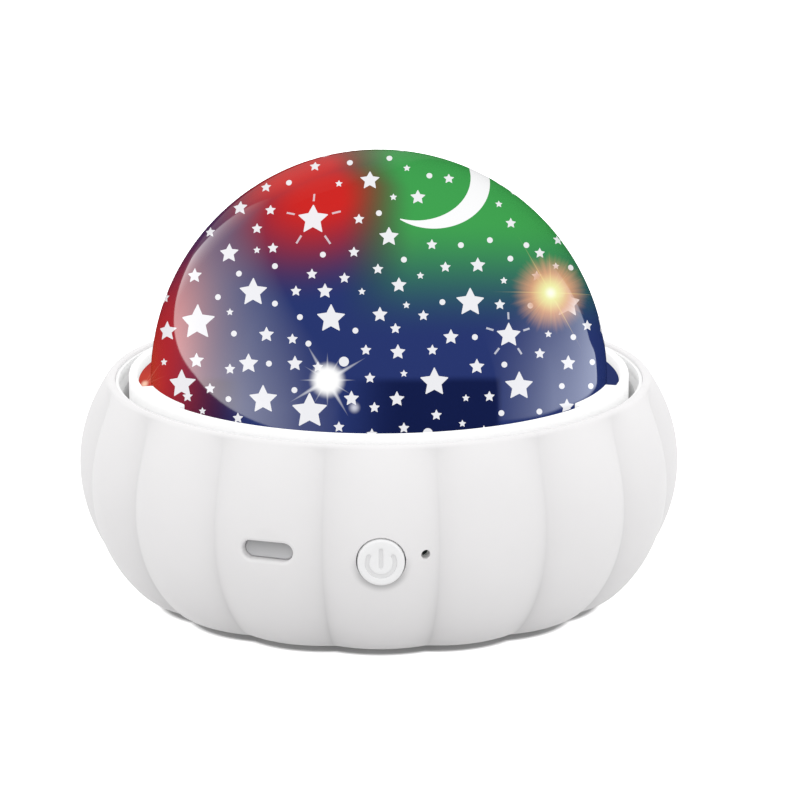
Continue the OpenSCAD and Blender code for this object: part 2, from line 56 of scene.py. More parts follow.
# Base shell
BELLY_R, BELLY_Z, SIDE_ARC_R = 60.0, 26.2, 31.1
BOTTOM_Z, RIM_Z = 1.0, 44.2
FOOT_ROUND, RIM_ROUND = 2.6, 0.7
RIM_IN_R, RIM_OUT_R = 52.7, 54.4
LOBES = 16
LOBE_HALF = 180 / LOBES
COLUMNS, SIDE_ROWS, WALL_ROWS = LOBES * 24, 64, 40      # of the mesh
GROOVE_DEPTH, GROOVE_LOSS, GROOVE_ONSET = 4.0, 0.6, 9
CREASE_SOFT = 0.5
WALL = 2.0
COVER_OPEN_R, CAVITY_FLOOR_Z, CAVITY_STEP_Z = 42.0, 3.8, 29.0
RIM_EDGE = 0.25

# Openings
BUTTON_Z, BUTTON_R, BUTTON_HOLE_R, BUTTON_FRONT = 23.0, 4.5, 4.75, 60.6
FLANGE_R, FLANGE_BACK, FLANGE_FRONT, STEM_R, STEM_BACK = 5.6, 52.8, 53.8, 2.0, 51.7
SLOT_ANGLE, SLOT_Z, SLOT_W, SLOT_H = -21.6, 23.8, 10.2, 3.7
PINHOLE_ANGLE, PINHOLE_Z, PINHOLE_R = 8.4, 23.8, 0.9
PLUG_FRONT, PLUG_BACK, PLUG_SLEEVE = 57.7, 56.85, 52.5
PLUG_PLATE, PLUG_STEM, PLUG_HOLE = (9.9, 3.4), (8.14, 2.46), (7.2, 1.1)

# Turntable
COLLAR_R, COLLAR_IN_R, COLLAR_Z = 49.9, 48.3, 45.2
DISC_Z, DISC_TOP_Z = 37.0, 38.6
SLEEVE_Z, SLEEVE_IN_R, SLEEVE_OUT_R = 31.55, 13.05, 16.0
LEDGE_Z, LEDGE_IN_R, LEDGE_T = 42.1, 44.8, 1.4
LUG_DIRECTIONS, LUG_ANGLE, LUG_R = (65, 180, 295), 20, 46.2

# Dome
DOME_R, DOME_IN_R, DOME_Z = 45.6, 44.4, 43.5
BRIM_R, BRIM_T, NOTCH_R, NOTCH_PLAY = 48.0, 1.2, 45.9, 1.6
NOTCH_HALF = (LUG_ANGLE + NOTCH_PLAY) / 2

# ---------------------------------------------------------------- camera

ELEVATION, TURN, DISTANCE = 14.9, -0.6, 1000.0
LENS, SENSOR = 225, 36
FRAME_RIGHT, FRAME_UP = 4.22, -4.48     # the dome's centre shows this far left of and above the middle

turn, elevation = math.radians(TURN), math.radians(ELEVATION)
RIGHT = Vector((math.cos(turn), math.sin(turn), 0))
FORWARD = Vector((-math.sin(turn) * math.cos(elevation), math.cos(turn) * math.cos(elevation),
                  -math.sin(elevation)))
UP = RIGHT.cross(FORWARD)
CENTRE = Vector((0, 0, DOME_Z))
EYE = CENTRE - FORWARD * DISTANCE + RIGHT * FRAME_RIGHT + UP * FRAME_UP


def add_object(name, data):
    obj = bpy.data.objects.new(name, data)
    bpy.context.scene.collection.objects.link(obj)
    return obj


def make_camera():
    data = bpy.data.cameras.new("camera")
    data.lens, data.sensor_width, data.clip_end = LENS, SENSOR, 20
    camera = add_object("camera", data)
    camera.location = EYE * MM
    camera.rotation_euler = FORWARD.to_track_quat("-Z", "Y").to_euler()
    bpy.context.scene.camera = camera


# ---------------------------------------------------------------- mesh building

def polar(r, degrees):
    return (r * math.cos(math.radians(degrees)), r * math.sin(math.radians(degrees)))


def at(r, degrees, z):
    """Place at a radius and a direction from the front."""
    a = math.radians(degrees)
    return (r * math.sin(a), -r * math.cos(a), z)


def even_steps(start, end, steps):
    """Numbers from one value to another, both included."""
    return [start + (end - start) * k / steps for k in range(steps + 1)]


def turns(count):
    """Even directions all round."""
    return even_steps(0, 360, count)[:-1]


def even_ring(r, z, columns=COLUMNS):
    """Level ring of places round the axis."""
    return [at(r, a, z) for a in turns(columns)]


def quarter(steps):
    """What cosine and sine lack to 1, in even steps over a quarter of a turn."""
    return [(1 - p, 1 - q) for p, q in (polar(1, a) for a in even_steps(0, 90, steps))]


def apart(a, b):
    """Degrees between two directions."""
    return abs((a - b + 180) % 360 - 180)


class Build:
    """Points in millimetres and faces through them, which become one piece."""

    def __init__(self):
        self.points, self.faces, self.slots = [], [], []

    def add(self, points):
        start = len(self.points)
        self.points += [tuple(p) for p in points]
        return list(range(start, len(self.points)))

    def face(self, ids, slot=0):
        self.faces.append(tuple(ids))
        self.slots.append(slot)

    def bridge(self, low, high, slot=0):
        """Quads between two rings of as many points."""
        n = len(low)
        for i in range(n):
            j = (i + 1) % n
            self.face((low[i], low[j], high[j], high[i]), slot)

    def onward(self, last, points, slot=0):
        """New ring of points, bridged to the last one."""
        ids = self.add(points)
        self.bridge(last, ids, slot)
        return ids

    def fan(self, ring, tip, slot=0):
        tip = self.add([tip])[0]
        for i, a in enumerate(ring):
            self.face((a, ring[(i + 1) % len(ring)], tip), slot)

    def loft(self, rings, slot=0, first=False, last=False):
        """Rings bridged in turn. first and last close the ends."""
        ids = [self.add(r) for r in rings]
        for low, high in zip(ids, ids[1:]):
            self.bridge(low, high, slot)
        if first:
            self.face(ids[0][::-1], slot)
        if last:
            self.face(ids[-1], slot)
        return ids

    def turned(self, profile, columns):
        """A closed outline of (radius, height) turned round the upright axis."""
        rings = [self.add(at(r, a, z) for r, z in profile) for a in turns(columns)]
        for i in range(columns):
            self.bridge(rings[i], rings[(i + 1) % columns])

    def fill(self, spots, ids, outlines, edges=(), slot=0, inside=False, near=1e-6):
        """Triangles between flat spots, either inside the outlines or everywhere else."""
        made = geometry.delaunay_2d_cdt(spots, edges, outlines, 1 if inside else 0, near)
        for triangle, origin in zip(made[2], made[5]):
            if inside or not origin:
                self.face([ids[made[3][v][0]] for v in triangle], slot)

    def piece(self, name, materials, body, node, slot, sharp=38):
        mesh = bpy.data.meshes.new(name)
        mesh.from_pydata([Vector(p) * MM for p in self.points], [], self.faces)
        mesh.polygons.foreach_set("material_index", self.slots)
        bm = bmesh.new()
        bm.from_mesh(mesh)
        bmesh.ops.remove_doubles(bm, verts=bm.verts, dist=0.0005 * MM)
        bmesh.ops.recalc_face_normals(bm, faces=bm.faces)
        bm.to_mesh(mesh)
        bm.free()
        mesh.shade_smooth()
        mesh.set_sharp_from_angle(angle=math.radians(sharp))
        obj = add_object(name, mesh)
        for material in materials:
            mesh.materials.append(material)
        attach(obj, body)
        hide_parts(node)
        return obj


def rounded(corners, steps=5):
    """Closed outline from corners (x, y, radius), each rounded by an arc."""
    out = []
    n = len(corners)
    for i, (x, y, radius) in enumerate(corners):
        p = Vector((x, y))
        u = (Vector(corners[i - 1][:2]) - p).normalized()
        v = (Vector(corners[(i + 1) % n][:2]) - p).normalized()
        if radius <= 0:
            out.append((x, y))
            continue
        half = u.angle(v) / 2
        reach = radius / math.tan(half)
        centre = p + (u + v).normalized() * radius / math.sin(half)
        start = p + u * reach - centre
        sweep = math.copysign(math.pi - 2 * half, u.y * v.x - u.x * v.y)
        for a in even_steps(0, sweep, steps):
            out.append((centre.x + start.x * math.cos(a) - start.y * math.sin(a),
                        centre.y + start.x * math.sin(a) + start.y * math.cos(a)))
    return out


def stadium(width, height, grow=0.0, arc=14):
    """Outline with fully rounded ends, in order round its middle."""
    shift = (width - height) / 2
    end = [polar(height / 2 + grow, a) for a in even_steps(-90, 90, arc)]
    return [(side * (shift + p), side * q) for side in (1, -1) for p, q in end]


def circle(radius, points):
    return [polar(radius, a) for a in turns(points)]


# ---------------------------------------------------------------- base shell

def crest_r(z):
    """Radius of the crest of a lobe at a height."""
    low = max(0.0, (BOTTOM_Z + FOOT_ROUND - z) / FOOT_ROUND)
    arc = BELLY_R - SIDE_ARC_R + math.sqrt(SIDE_ARC_R ** 2 - (z - BELLY_Z) ** 2)
    return arc - FOOT_ROUND * (1 - math.sqrt(max(0.0, 1 - low * low)))


def groove(z):
    """Depth of the groove between two lobes at a height."""
    t = min(1.0, max(0.0, (RIM_Z - z) / (RIM_Z - BOTTOM_Z)))
    return GROOVE_DEPTH * (1 - (1 - t) ** GROOVE_ONSET) * (1 - GROOVE_LOSS * t)


def skin_r(degrees, z):
    """Radius of the outer skin: arcs between grooves, with a small radius in each groove."""
    crest, depth = crest_r(z), max(groove(z), 0.02)
    valley = crest - depth
    c = (crest ** 2 - valley ** 2) / (2 * (crest - valley * math.cos(math.radians(LOBE_HALF))))
    rho = crest - c

    def arc(b):
        return c * math.cos(b) + math.sqrt(rho ** 2 - (c * math.sin(b)) ** 2)

    b = (degrees + LOBE_HALF) % (2 * LOBE_HALF) - LOBE_HALF
    r = arc(math.radians(b))
    edge = math.radians(LOBE_HALF)
    slope = (arc(edge - 0.01) - arc(edge)) / (0.01 * valley)
    away = math.radians(LOBE_HALF - abs(b)) * valley
    r += slope * (math.hypot(away, CREASE_SOFT) - away)
    return max(r, min(RIM_OUT_R, crest)) if z > BELLY_Z else r


def wall_r(degrees, z):
    """Radius of the inner face of the shell below its thick rim."""
    return crest_r(z) - groove(z) - WALL


class Hole:
    """Opening that runs straight out at a direction and height, with a rounded mouth."""

    def __init__(self, angle, z, outline, mouth):
        self.angle, self.z, self.outline, self.mouth = angle, z, outline, mouth

    def place(self, p, q, depth):
        a = math.radians(self.angle)
        return (depth * math.sin(a) + p * math.cos(a), p * math.sin(a) - depth * math.cos(a), self.z + q)

    def land(self, surface, p, q):
        """Depth and direction at which the line through (p, q) meets a surface."""
        degrees = self.angle
        for _ in range(5):
            r = surface(degrees, self.z + q)
            degrees = self.angle + math.degrees(math.asin(p / r))
        return math.sqrt(r * r - p * p), degrees

    def ring_on(self, surface, grow, sunk=0.0):
        return [self.place(p, q, self.land(surface, p, q)[0] - sunk) for p, q in self.outline(grow)]

    def flat(self, surface, grow):
        """The outline unrolled on the surface."""
        return [unroll(self.land(surface, p, q)[1], self.z + q) for p, q in self.outline(grow)]


HOLES = [
    Hole(0, BUTTON_Z, lambda grow: circle(BUTTON_HOLE_R + grow, 72), 0.15),
    Hole(SLOT_ANGLE, SLOT_Z, lambda grow: stadium(SLOT_W, SLOT_H, grow), 0.75),
    Hole(PINHOLE_ANGLE, PINHOLE_Z, lambda grow: circle(PINHOLE_R + grow, 28), 0.18),
]
SLOT = HOLES[1]
WINDOW = (-32, 15)                      # columns between which the openings lie
OUTER_WINDOW, INNER_WINDOW = (15, 31), (15, 28.9)      # heights between which they lie


def unroll(degrees, z):
    return (math.radians(degrees) * BELLY_R, z)


def cut_window(build, grid, heights, low, high, outlines, rings):
    """Triangles over the window of a grid, round the outlines, whose own points are in rings."""
    first, last = WINDOW
    keep, ids = [], []
    for row in range(low, high + 1):
        for col in range(first, last + 1):
            spot = Vector(unroll(360 * col / COLUMNS, heights[row]))
            border = row in (low, high) or col in (first, last)
            if border or not any(too_close(spot, o) for o in outlines):
                keep.append(spot)
                ids.append(grid[row][col % COLUMNS])
    where = {v: i for i, v in enumerate(ids)}
    edges = [(where[grid[row][c % COLUMNS]], where[grid[row][(c + 1) % COLUMNS]])
             for row in (low, high) for c in range(first, last)]
    edges += [(where[grid[r][col % COLUMNS]], where[grid[r + 1][col % COLUMNS]])
              for col in (first, last) for r in range(low, high)]
    holes = []
    for outline, ring in zip(outlines, rings):
        holes.append([len(keep) + i for i in range(len(ring))])
        keep += [Vector(p) for p in outline]
        ids += ring
    build.fill(keep, ids, holes, edges, near=1e-5)


def too_close(spot, outline, margin=0.35):
    """Whether a point lies inside an outline or next to it."""
    centre = Vector((sum(p[0] for p in outline), sum(p[1] for p in outline))) / len(outline)
    near = min(outline, key=lambda p: (Vector(p) - spot).length)
    gap = (Vector(near) - spot).length
    return gap < margin or (spot - centre).length < (Vector(near) - centre).length


def punched(build, heights, reach, surface, outlines, rings):
    """Skin over a grid of columns and heights, whose window is cut round the rings."""
    low, high = [min(range(len(heights)), key=lambda i: abs(heights[i] - z)) for z in reach]
    grid = [build.add(at(surface(a, z), a, z) for a in turns(COLUMNS)) for z in heights]
    for row in range(len(heights) - 1):
        for col in range(COLUMNS):
            in_window = low <= row < high and (col < WINDOW[1] or col - COLUMNS >= WINDOW[0])
            if not in_window:
                j = (col + 1) % COLUMNS
                build.face((grid[row][col], grid[row][j], grid[row + 1][j], grid[row + 1][col]))
    cut_window(build, grid, heights, low, high, outlines, rings)
    return grid


def lobed_shell(plastic):
    build = Build()
    side_low, side_high = BOTTOM_Z + FOOT_ROUND, RIM_Z - RIM_ROUND
    outer_z = [BOTTOM_Z + FOOT_ROUND * rise for rise, _ in quarter(8)[:-1]]
    outer_z += [side_low + polar(side_high - side_low, a)[1] for a in even_steps(0, 90, SIDE_ROWS)]
    inner_z = even_steps(CAVITY_FLOOR_Z, CAVITY_STEP_Z, WALL_ROWS)

    # Mouths of the openings: rounded at the skin, then straight through to the inner face
    outer_rings, inner_rings = [], []
    for hole in HOLES:
        rings = [hole.ring_on(skin_r, hole.mouth * grow, hole.mouth * sunk) for sunk, grow in quarter(6)]
        ids = build.loft(rings + [hole.ring_on(wall_r, 0)])
        outer_rings.append(ids[0])
        inner_rings.append(ids[-1])
    outer = punched(build, outer_z, OUTER_WINDOW, skin_r, [h.flat(skin_r, h.mouth) for h in HOLES],
                    outer_rings)
    inner = punched(build, inner_z, INNER_WINDOW, wall_r, [h.flat(wall_r, 0) for h in HOLES], inner_rings)

    # Rim: round outer edge, flat top, small inner edge and the thick wall down to the cavity
    last = outer[-1]
    for back, below in quarter(6)[1:]:
        ring = []
        for a in turns(COLUMNS):
            proud = skin_r(a, side_high) - RIM_OUT_R
            ring.append(at(RIM_OUT_R - RIM_ROUND * back + proud * below, a, RIM_Z - RIM_ROUND * below))
        last = build.onward(last, ring)
    for r, z in ((RIM_IN_R + RIM_EDGE, RIM_Z), (RIM_IN_R + RIM_EDGE * 0.3, RIM_Z - RIM_EDGE * 0.3),
                 (RIM_IN_R, RIM_Z - RIM_EDGE), (RIM_IN_R, CAVITY_STEP_Z)):
        last = build.onward(last, even_ring(r, z))
    build.bridge(last, inner[-1])

    # Bottom: flat edge, opening for the cover, and the ledge inside it
    last = outer[0]
    for z in (BOTTOM_Z, CAVITY_FLOOR_Z):
        last = build.onward(last, even_ring(COVER_OPEN_R, z))
    build.bridge(last, inner[0])
    return build.piece("lobed_shell", [plastic], "base", "base_shell", "shell_plastic")


# ---------------------------------------------------------------- power button

MARK_R, MARK_STROKE, MARK_DEPTH, MARK_BEVEL = 2.65, 0.42, 0.3, 0.1
MARK_GAP = 60                           # the ring of the mark stops this far from the top, each side
BAR_TOP, BAR_BOTTOM = 2.45, -0.75
CAP_ROUND, CAP_CHAMFER = 0.5, 0.15


def half_turn(centre, start, w, steps=8):
    arc = [polar(w, a) for a in even_steps(start, start + 180, steps)]
    return [(centre[0] + p, centre[1] + q) for p, q in arc]


def mark_arc(w, steps=40):
    """Outline of the open ring of the power mark, w either side of its line."""
    start, end = 90 + MARK_GAP, 450 - MARK_GAP
    out = [polar(MARK_R + w, a) for a in even_steps(start, end, steps)]
    out += half_turn(polar(MARK_R, end), end, w)[1:-1]
    out += [polar(MARK_R - w, a) for a in even_steps(end, start, steps)]
    return out + half_turn(polar(MARK_R, start), start + 180, w)[1:-1]


def mark_bar(w):
    """Outline of the bar of the power mark."""
    return half_turn((0, BAR_TOP), 0, w) + half_turn((0, BAR_BOTTOM), 180, w)


def power_cap(plastic, mark_painted_shade):
    build = Build()

    def place(p, q, depth):
        return (p, -depth, BUTTON_Z + q)

    # Stem, flange and cap, from the back to the front face
    profile = [(STEM_R - 0.2, STEM_BACK), (STEM_R, STEM_BACK + 0.2), (STEM_R, FLANGE_BACK),
               (FLANGE_R - CAP_CHAMFER, FLANGE_BACK), (FLANGE_R, FLANGE_BACK + CAP_CHAMFER),
               (FLANGE_R, FLANGE_FRONT - CAP_CHAMFER), (FLANGE_R - CAP_CHAMFER, FLANGE_FRONT),
               (BUTTON_R, FLANGE_FRONT)]
    profile += [(BUTTON_R - CAP_ROUND * a, BUTTON_FRONT - CAP_ROUND * b) for a, b in quarter(7)]
    rings = build.loft([[place(*spot, depth) for spot in circle(r, 96)] for r, depth in profile])
    build.face(rings[0])

    # Face with the power mark sunk into it
    face = [Vector((build.points[i][0], build.points[i][2] - BUTTON_Z)) for i in rings[-1]]
    ids = list(rings[-1])
    outlines = []
    levels = [(MARK_STROKE + MARK_BEVEL, 0), (MARK_STROKE + MARK_BEVEL * 0.3, MARK_BEVEL * 0.3),
              (MARK_STROKE, MARK_BEVEL), (MARK_STROKE - 0.04, MARK_DEPTH - 0.05),
              (MARK_STROKE - 0.09, MARK_DEPTH)]
    for shape in (mark_arc, mark_bar):
        sunk = [build.add(place(x, y, BUTTON_FRONT - depth) for x, y in shape(w)) for w, depth in levels]
        outlines.append([len(face) + i for i in range(len(sunk[0]))])
        face += [Vector(p) for p in shape(levels[0][0])]
        ids += sunk[0]
        for number, (low, high) in enumerate(zip(sunk, sunk[1:])):
            build.bridge(low, high, 1 if number >= 2 else 0)
        floor = [Vector(p) for p in shape(levels[-1][0])]
        build.fill(floor, sunk[-1], [list(range(len(floor)))], slot=1, inside=True)
    for radius in (0.8, 1.6, 3.5):
        for p in circle(radius, 24):
            spot = Vector(p)
            if min((spot - f).length for f in face) > 0.3 and not in_mark(spot):
                face.append(spot)
                ids += build.add([place(*p, BUTTON_FRONT)])
    build.fill(face, ids, outlines)
    return build.piece("power_cap", [plastic, mark_painted_shade], "button", "power_button", "button_plastic", 30)


def in_mark(spot):
    on_ring = abs(spot.length - MARK_R) < MARK_STROKE + 0.3
    on_bar = abs(spot.x) < MARK_STROKE + 0.3 and BAR_BOTTOM - 0.8 < spot.y < BAR_TOP + 0.8
    return on_ring or on_bar


# ---------------------------------------------------------------- dust plug of the charging slot

def dust_plug(silicone):
    """Plate that closes the slot, with a hollow sleeve behind it that sits in the socket."""
    soft, bevel = 0.25, 0.08
    tip = PLUG_SLEEVE + bevel
    levels = [(PLUG_HOLE, 0, PLUG_BACK), (PLUG_HOLE, 0, tip), (PLUG_HOLE, bevel, PLUG_SLEEVE),
              (PLUG_STEM, -bevel, PLUG_SLEEVE), (PLUG_STEM, 0, tip), (PLUG_STEM, 0, PLUG_BACK),
              (PLUG_PLATE, -bevel, PLUG_BACK), (PLUG_PLATE, 0, PLUG_BACK + bevel)]
    levels += [(PLUG_PLATE, -soft * a, PLUG_FRONT - soft * b) for a, b in quarter(5)]
    build = Build()
    build.loft([[SLOT.place(p, q, depth) for p, q in stadium(*size, grow)] for size, grow, depth in levels],
               first=True, last=True)
    return build.piece("dust_plug", [silicone], "plug", "port_plug", "plug_silicone")


# ---------------------------------------------------------------- turntable

def turntable_collar(plastic):
    build = Build()
    build.turned(rounded([
        (SLEEVE_IN_R, SLEEVE_Z, 0.2), (SLEEVE_OUT_R, SLEEVE_Z, 0.2), (SLEEVE_OUT_R, DISC_Z, 0.3),
        (COLLAR_R, DISC_Z, 0.4), (COLLAR_R, COLLAR_Z, 0.55), (COLLAR_IN_R, COLLAR_Z, 0.45),
        (COLLAR_IN_R, LEDGE_Z, 0.2), (LEDGE_IN_R, LEDGE_Z, 0.25),
        (LEDGE_IN_R, LEDGE_Z - LEDGE_T, 0.25), (COLLAR_IN_R, LEDGE_Z - LEDGE_T, 0.3),
        (COLLAR_IN_R, DISC_TOP_Z, 0.4), (SLEEVE_IN_R, DISC_TOP_Z, 0.2)]), 256)
    for direction in LUG_DIRECTIONS:
        lug(build, direction)
    return build.piece("turntable_collar", [plastic], "turntable_unit", "turntable", "turntable_plastic")


def lug(build, direction):
    """Rounded block inside the collar, which keys the dome."""
    low, high, out, soft, steps = LEDGE_Z - 0.1, COLLAR_Z - 0.02, COLLAR_IN_R + 0.7, 0.35, 12
    length = math.radians(LUG_ANGLE) * LUG_R
    end = [(0.0, soft), (0.25, soft * 0.35)]
    stations = end + [(along, 0.0) for along in even_steps(soft, length - soft, steps)]
    stations += [(length - along, inset) for along, inset in reversed(end)]
    rings = []
    for along, inset in stations:
        section = rounded([(LUG_R + inset, low, 0), (out, low, 0), (out, high - inset, 0),
                           (LUG_R + inset, high - inset, soft)])
        angle = direction - LUG_ANGLE / 2 + math.degrees(along / LUG_R)
        rings.append([at(r, angle, z) for r, z in section])
    build.loft(rings, first=True, last=True)


# ---------------------------------------------------------------- dome and its printed sky

# Places on the dome, as millimetres right of and above its centre in the front view, by outer radius
STARS = {
    0.75: [
        (5.6, 41.9), (-8, 38.8), (26.8, 36.9), (2.9, 36.1), (24, 34.7), (-24.4, 25.5), (35.4, 22.3),
        (8.3, 20.4), (25, 19.4), (-3.4, 17.2), (5.5, 14.5), (-29.8, 13.1), (33.9, 8.7), (-43, 3.1),
        (5, 0.8), (17.4, -4.1), (-35.3, -6.7), (16.7, -9.2), (21, -10.3)],
    1.1: [
        (-12.8, 42.3), (14, 39.8), (-22.6, 38.1), (-21.7, 33.5), (-4, 31.7), (26.4, 30.9),
        (-24.4, 29.8), (-33.8, 29.1), (35.8, 27.5), (10.6, 26.6), (-21.2, 25.9), (-5, 25.1),
        (32.2, 24.9), (13.3, 22.1), (-0.2, 21.7), (-13.4, 20.7), (31.6, 20.3), (-6.9, 19.9),
        (-16.6, 17.3), (-42.6, 15.9), (24.2, 14.6), (8.9, 12.4), (41.7, 10.4), (3.3, 9.8),
        (-17.3, 7.7), (-2.6, 5.5), (10.7, 5.5), (32.2, 4.8), (-12.2, 2.1), (-29.8, 1.7),
        (-1.8, -0.1), (-33.8, -2.2), (-38.3, -3.8), (22.1, -3.8), (-0.9, -6), (11.5, -7.5),
        (-28.2, -8.1), (-8, -9.9), (5, -10.1), (-1.4, -11.3)],
    1.55: [
        (7.8, 36.1), (-27.8, 34), (19.8, 22.5), (-36.9, 20.4), (4, 18.5), (-10.8, 17.3), (0.2, 12.6),
        (-22.5, 8.6), (14.4, 8.1), (3.8, 5.1), (-36.5, 3.4), (37.9, 2.9), (-16.8, 2.8), (19.6, 2.2),
        (-5.5, -4.2), (3.6, -4.3), (37.6, -5.8)],
    2.0: [(-1.8, 39.5), (2, 28.2), (-30, 24.9), (-42.4, 9.3), (-26.1, 2.8)],
    2.9: [
        (-25.2, 17.1), (18.3, 15.1), (37.8, 14.9), (-9.6, 11.8), (11.1, -0.9), (-39.5, -1.3),
        (28.1, -1.7), (-23.2, -4.4)],
    3.6: [(-36.4, 11.1), (-13.9, -6.7)],
}
RAYED_STARS = {3.1: (-13.2, 31.7), 2.5: (26, 8.5)}
DOTS = {
    0.6: [
        (2.1, 43.9), (-5.8, 43), (10.1, 40.4), (-18, 39), (0, 32.9), (22.2, 27.5), (16.4, 26.5),
        (29.5, 26.5), (-11.2, 24.6), (26.3, 23.8), (5, 23.6), (-20.8, 22.3), (38.4, 22), (-28, 20.8),
        (-32.2, 16.1), (12.7, 15.1), (-20.8, 14.8), (30.3, 14.4), (-15.8, 12.1), (-4.7, 9.4),
        (-29, 8.8), (19.2, 8.1), (38.9, 8.1), (-14.1, 6.8), (42.7, 3.1), (-22, 2.8), (25.1, 2.6),
        (36.6, -1.7), (42.4, -1.7), (-16.9, -2.5), (-30.1, -4.3), (32.1, -6.8), (24.5, -7.1)],
    1.0: [(-7, 3.2), (9.8, -11.1)],
}
MOON, MOON_BITE = (11.0, 38.7, 11.2, 8.9), (7.5, 39.92, 10.85, 8.5)      # ellipses: x, up, half sizes
FILL_STARS = {3.6: 3, 2.9: 14, 2.0: 10, 1.55: 26, 1.1: 54, 0.75: 26}
FILL_DOTS = {1.0: 4, 0.6: 46}
FILL_RAYED = {3.1: 1, 2.5: 1}
STAR_WAIST, STAR_TIP = 0.52, 1.5        # share of its radius, degrees either side
LONGEST_STRETCH = 4.2                   # of a motif where the front view shortens it
DASH = (1.28, 1.86, 0.2)                # rays of a star: from, to in radii, half their width
RAYED_ROOM = 1.9                        # radius that a star takes up with its rays, in radii
FILL_GAP, DOT_GAP, FILL_TILT = 0.9, 0.8, 0.2
VIEW_EDGE, EDGE_WIDTH = 45.0, 0.6       # where seen_far() goes over the edge of the view
EDGE_RATE, FAR_RATE = 13.0, 2.0         # degrees a millimetre, over the edge and past it
INK, RAY, WHITE, MOONLIT, BRIM, LINING = range(6)      # slots of the dome's materials
PRINT_END = 89.4                        # degrees from the top, where a motif that runs over the foot is cut
DOME_ROWS, LINING_ROWS = 44, 40         # of the mesh, from the foot to the top


def seen(x, up):
    """Direction from the dome's centre to the place on it that shows at x, up in the front view."""
    ray = (CENTRE + RIGHT * x + UP * up - EYE).normalized()
    middle = (CENTRE - EYE).dot(ray)
    miss = EYE + ray * middle - CENTRE
    depth = math.sqrt(max(0.0, DOME_R ** 2 - miss.length_squared))
    return (EYE + ray * (middle - depth) - CENTRE).normalized()


def seen_far(x, up):
    """Like seen() as far as the edge of the view, and on over it at an even rate."""
    flat = math.hypot(x, up)
    if flat < VIEW_EDGE:
        return seen(x, up)
    past = flat - VIEW_EDGE
    across = (RIGHT * x + UP * up) / flat
    at_edge = seen(x * VIEW_EDGE / flat, up * VIEW_EDGE / flat)
    angle = math.acos(at_edge.dot(-FORWARD)) + math.radians(EDGE_RATE) * min(past, EDGE_WIDTH)
    angle += math.radians(FAR_RATE) * max(0.0, past - EDGE_WIDTH)
    return -FORWARD * math.cos(angle) + across * math.sin(angle)


def shift(direction, offset):
    """Direction reached by going an offset along the dome."""
    angle = offset.length / DOME_R
    return direction * math.cos(angle) + offset.normalized() * math.sin(angle)


def on_dome(spot, outline):
    """Directions of a flat outline round a place in the front view. What the view shortens is
    stretched, up to a limit, so that the outline looks almost the same all over the dome."""
    direction = seen(*spot)
    facing = direction.dot(-FORWARD)
    flat = math.hypot(*spot)
    out_x, out_up = spot[0] / flat, spot[1] / flat
    outward = (RIGHT * out_x + UP * out_up) * facing + FORWARD * math.sqrt(1 - facing ** 2)
    sideways = RIGHT * -out_up + UP * out_x
    scale = 1 - facing * DOME_R / DISTANCE
    stretch = min(1 / facing, LONGEST_STRETCH) * scale
    return [shift(direction, outward * (p * out_x + q * out_up) * stretch
                  + sideways * (q * out_x - p * out_up) * scale) for p, q in outline]


def laid(direction, outline, upward):
    """Directions of a flat outline laid on the dome, for an upward sense."""
    up = (upward - direction * upward.dot(direction)).normalized()
    right = up.cross(direction)
    return [shift(direction, right * p + up * q) for p, q in outline]


def star_outline(radius, points=5):
    """Star with blunt tips."""
    corners = []
    for k in range(points):
        a = 90 + 360 * k / points
        corners += [polar(radius, a - STAR_TIP), polar(radius, a + STAR_TIP)]
        corners.append(polar(radius * STAR_WAIST, a + 180 / points))
    return split(corners)


def dot_outline(radius):
    return circle(radius, 18)


def split(corners, longest=0.8):
    """Outline with its edges cut into stretches."""
    out = []
    for a, b in zip(corners, corners[1:] + corners[:1]):
        n = max(1, math.ceil(math.dist(a, b) / longest))
        out += list(zip(even_steps(a[0], b[0], n), even_steps(a[1], b[1], n)))[:-1]
    return out


def dash_outlines(radius):
    """Short rays off the five points of a star."""
    start, end, half = radius * DASH[0], radius * DASH[1], DASH[2]
    out = []
    for a in range(90, 450, 72):
        u, v = polar(1, a), polar(1, a + 90)
        out.append(split([(u[0] * s + v[0] * w, u[1] * s + v[1] * w)
                          for s, w in ((start, half), (start, -half), (end, -half), (end, half))]))
    return out


def moon_outline():
    """Crescent in the front view: an ellipse with a smaller one bitten out of it."""
    def around(ellipse, way):
        x, up, wide, high = ellipse
        start = math.atan2(MOON_BITE[1] - MOON[1], MOON_BITE[0] - MOON[0])
        angles = even_steps(start, start + way * 2 * math.pi, 90)[:-1]
        return [(x + wide * math.cos(a), up + high * math.sin(a)) for a in angles]

    def within(ellipse, spot):
        x, up, wide, high = ellipse
        return ((spot[0] - x) / wide) ** 2 + ((spot[1] - up) / high) ** 2 < 1

    return ([spot for spot in around(MOON, 1) if not within(MOON_BITE, spot)]
            + [spot for spot in around(MOON_BITE, -1) if within(MOON, spot)])


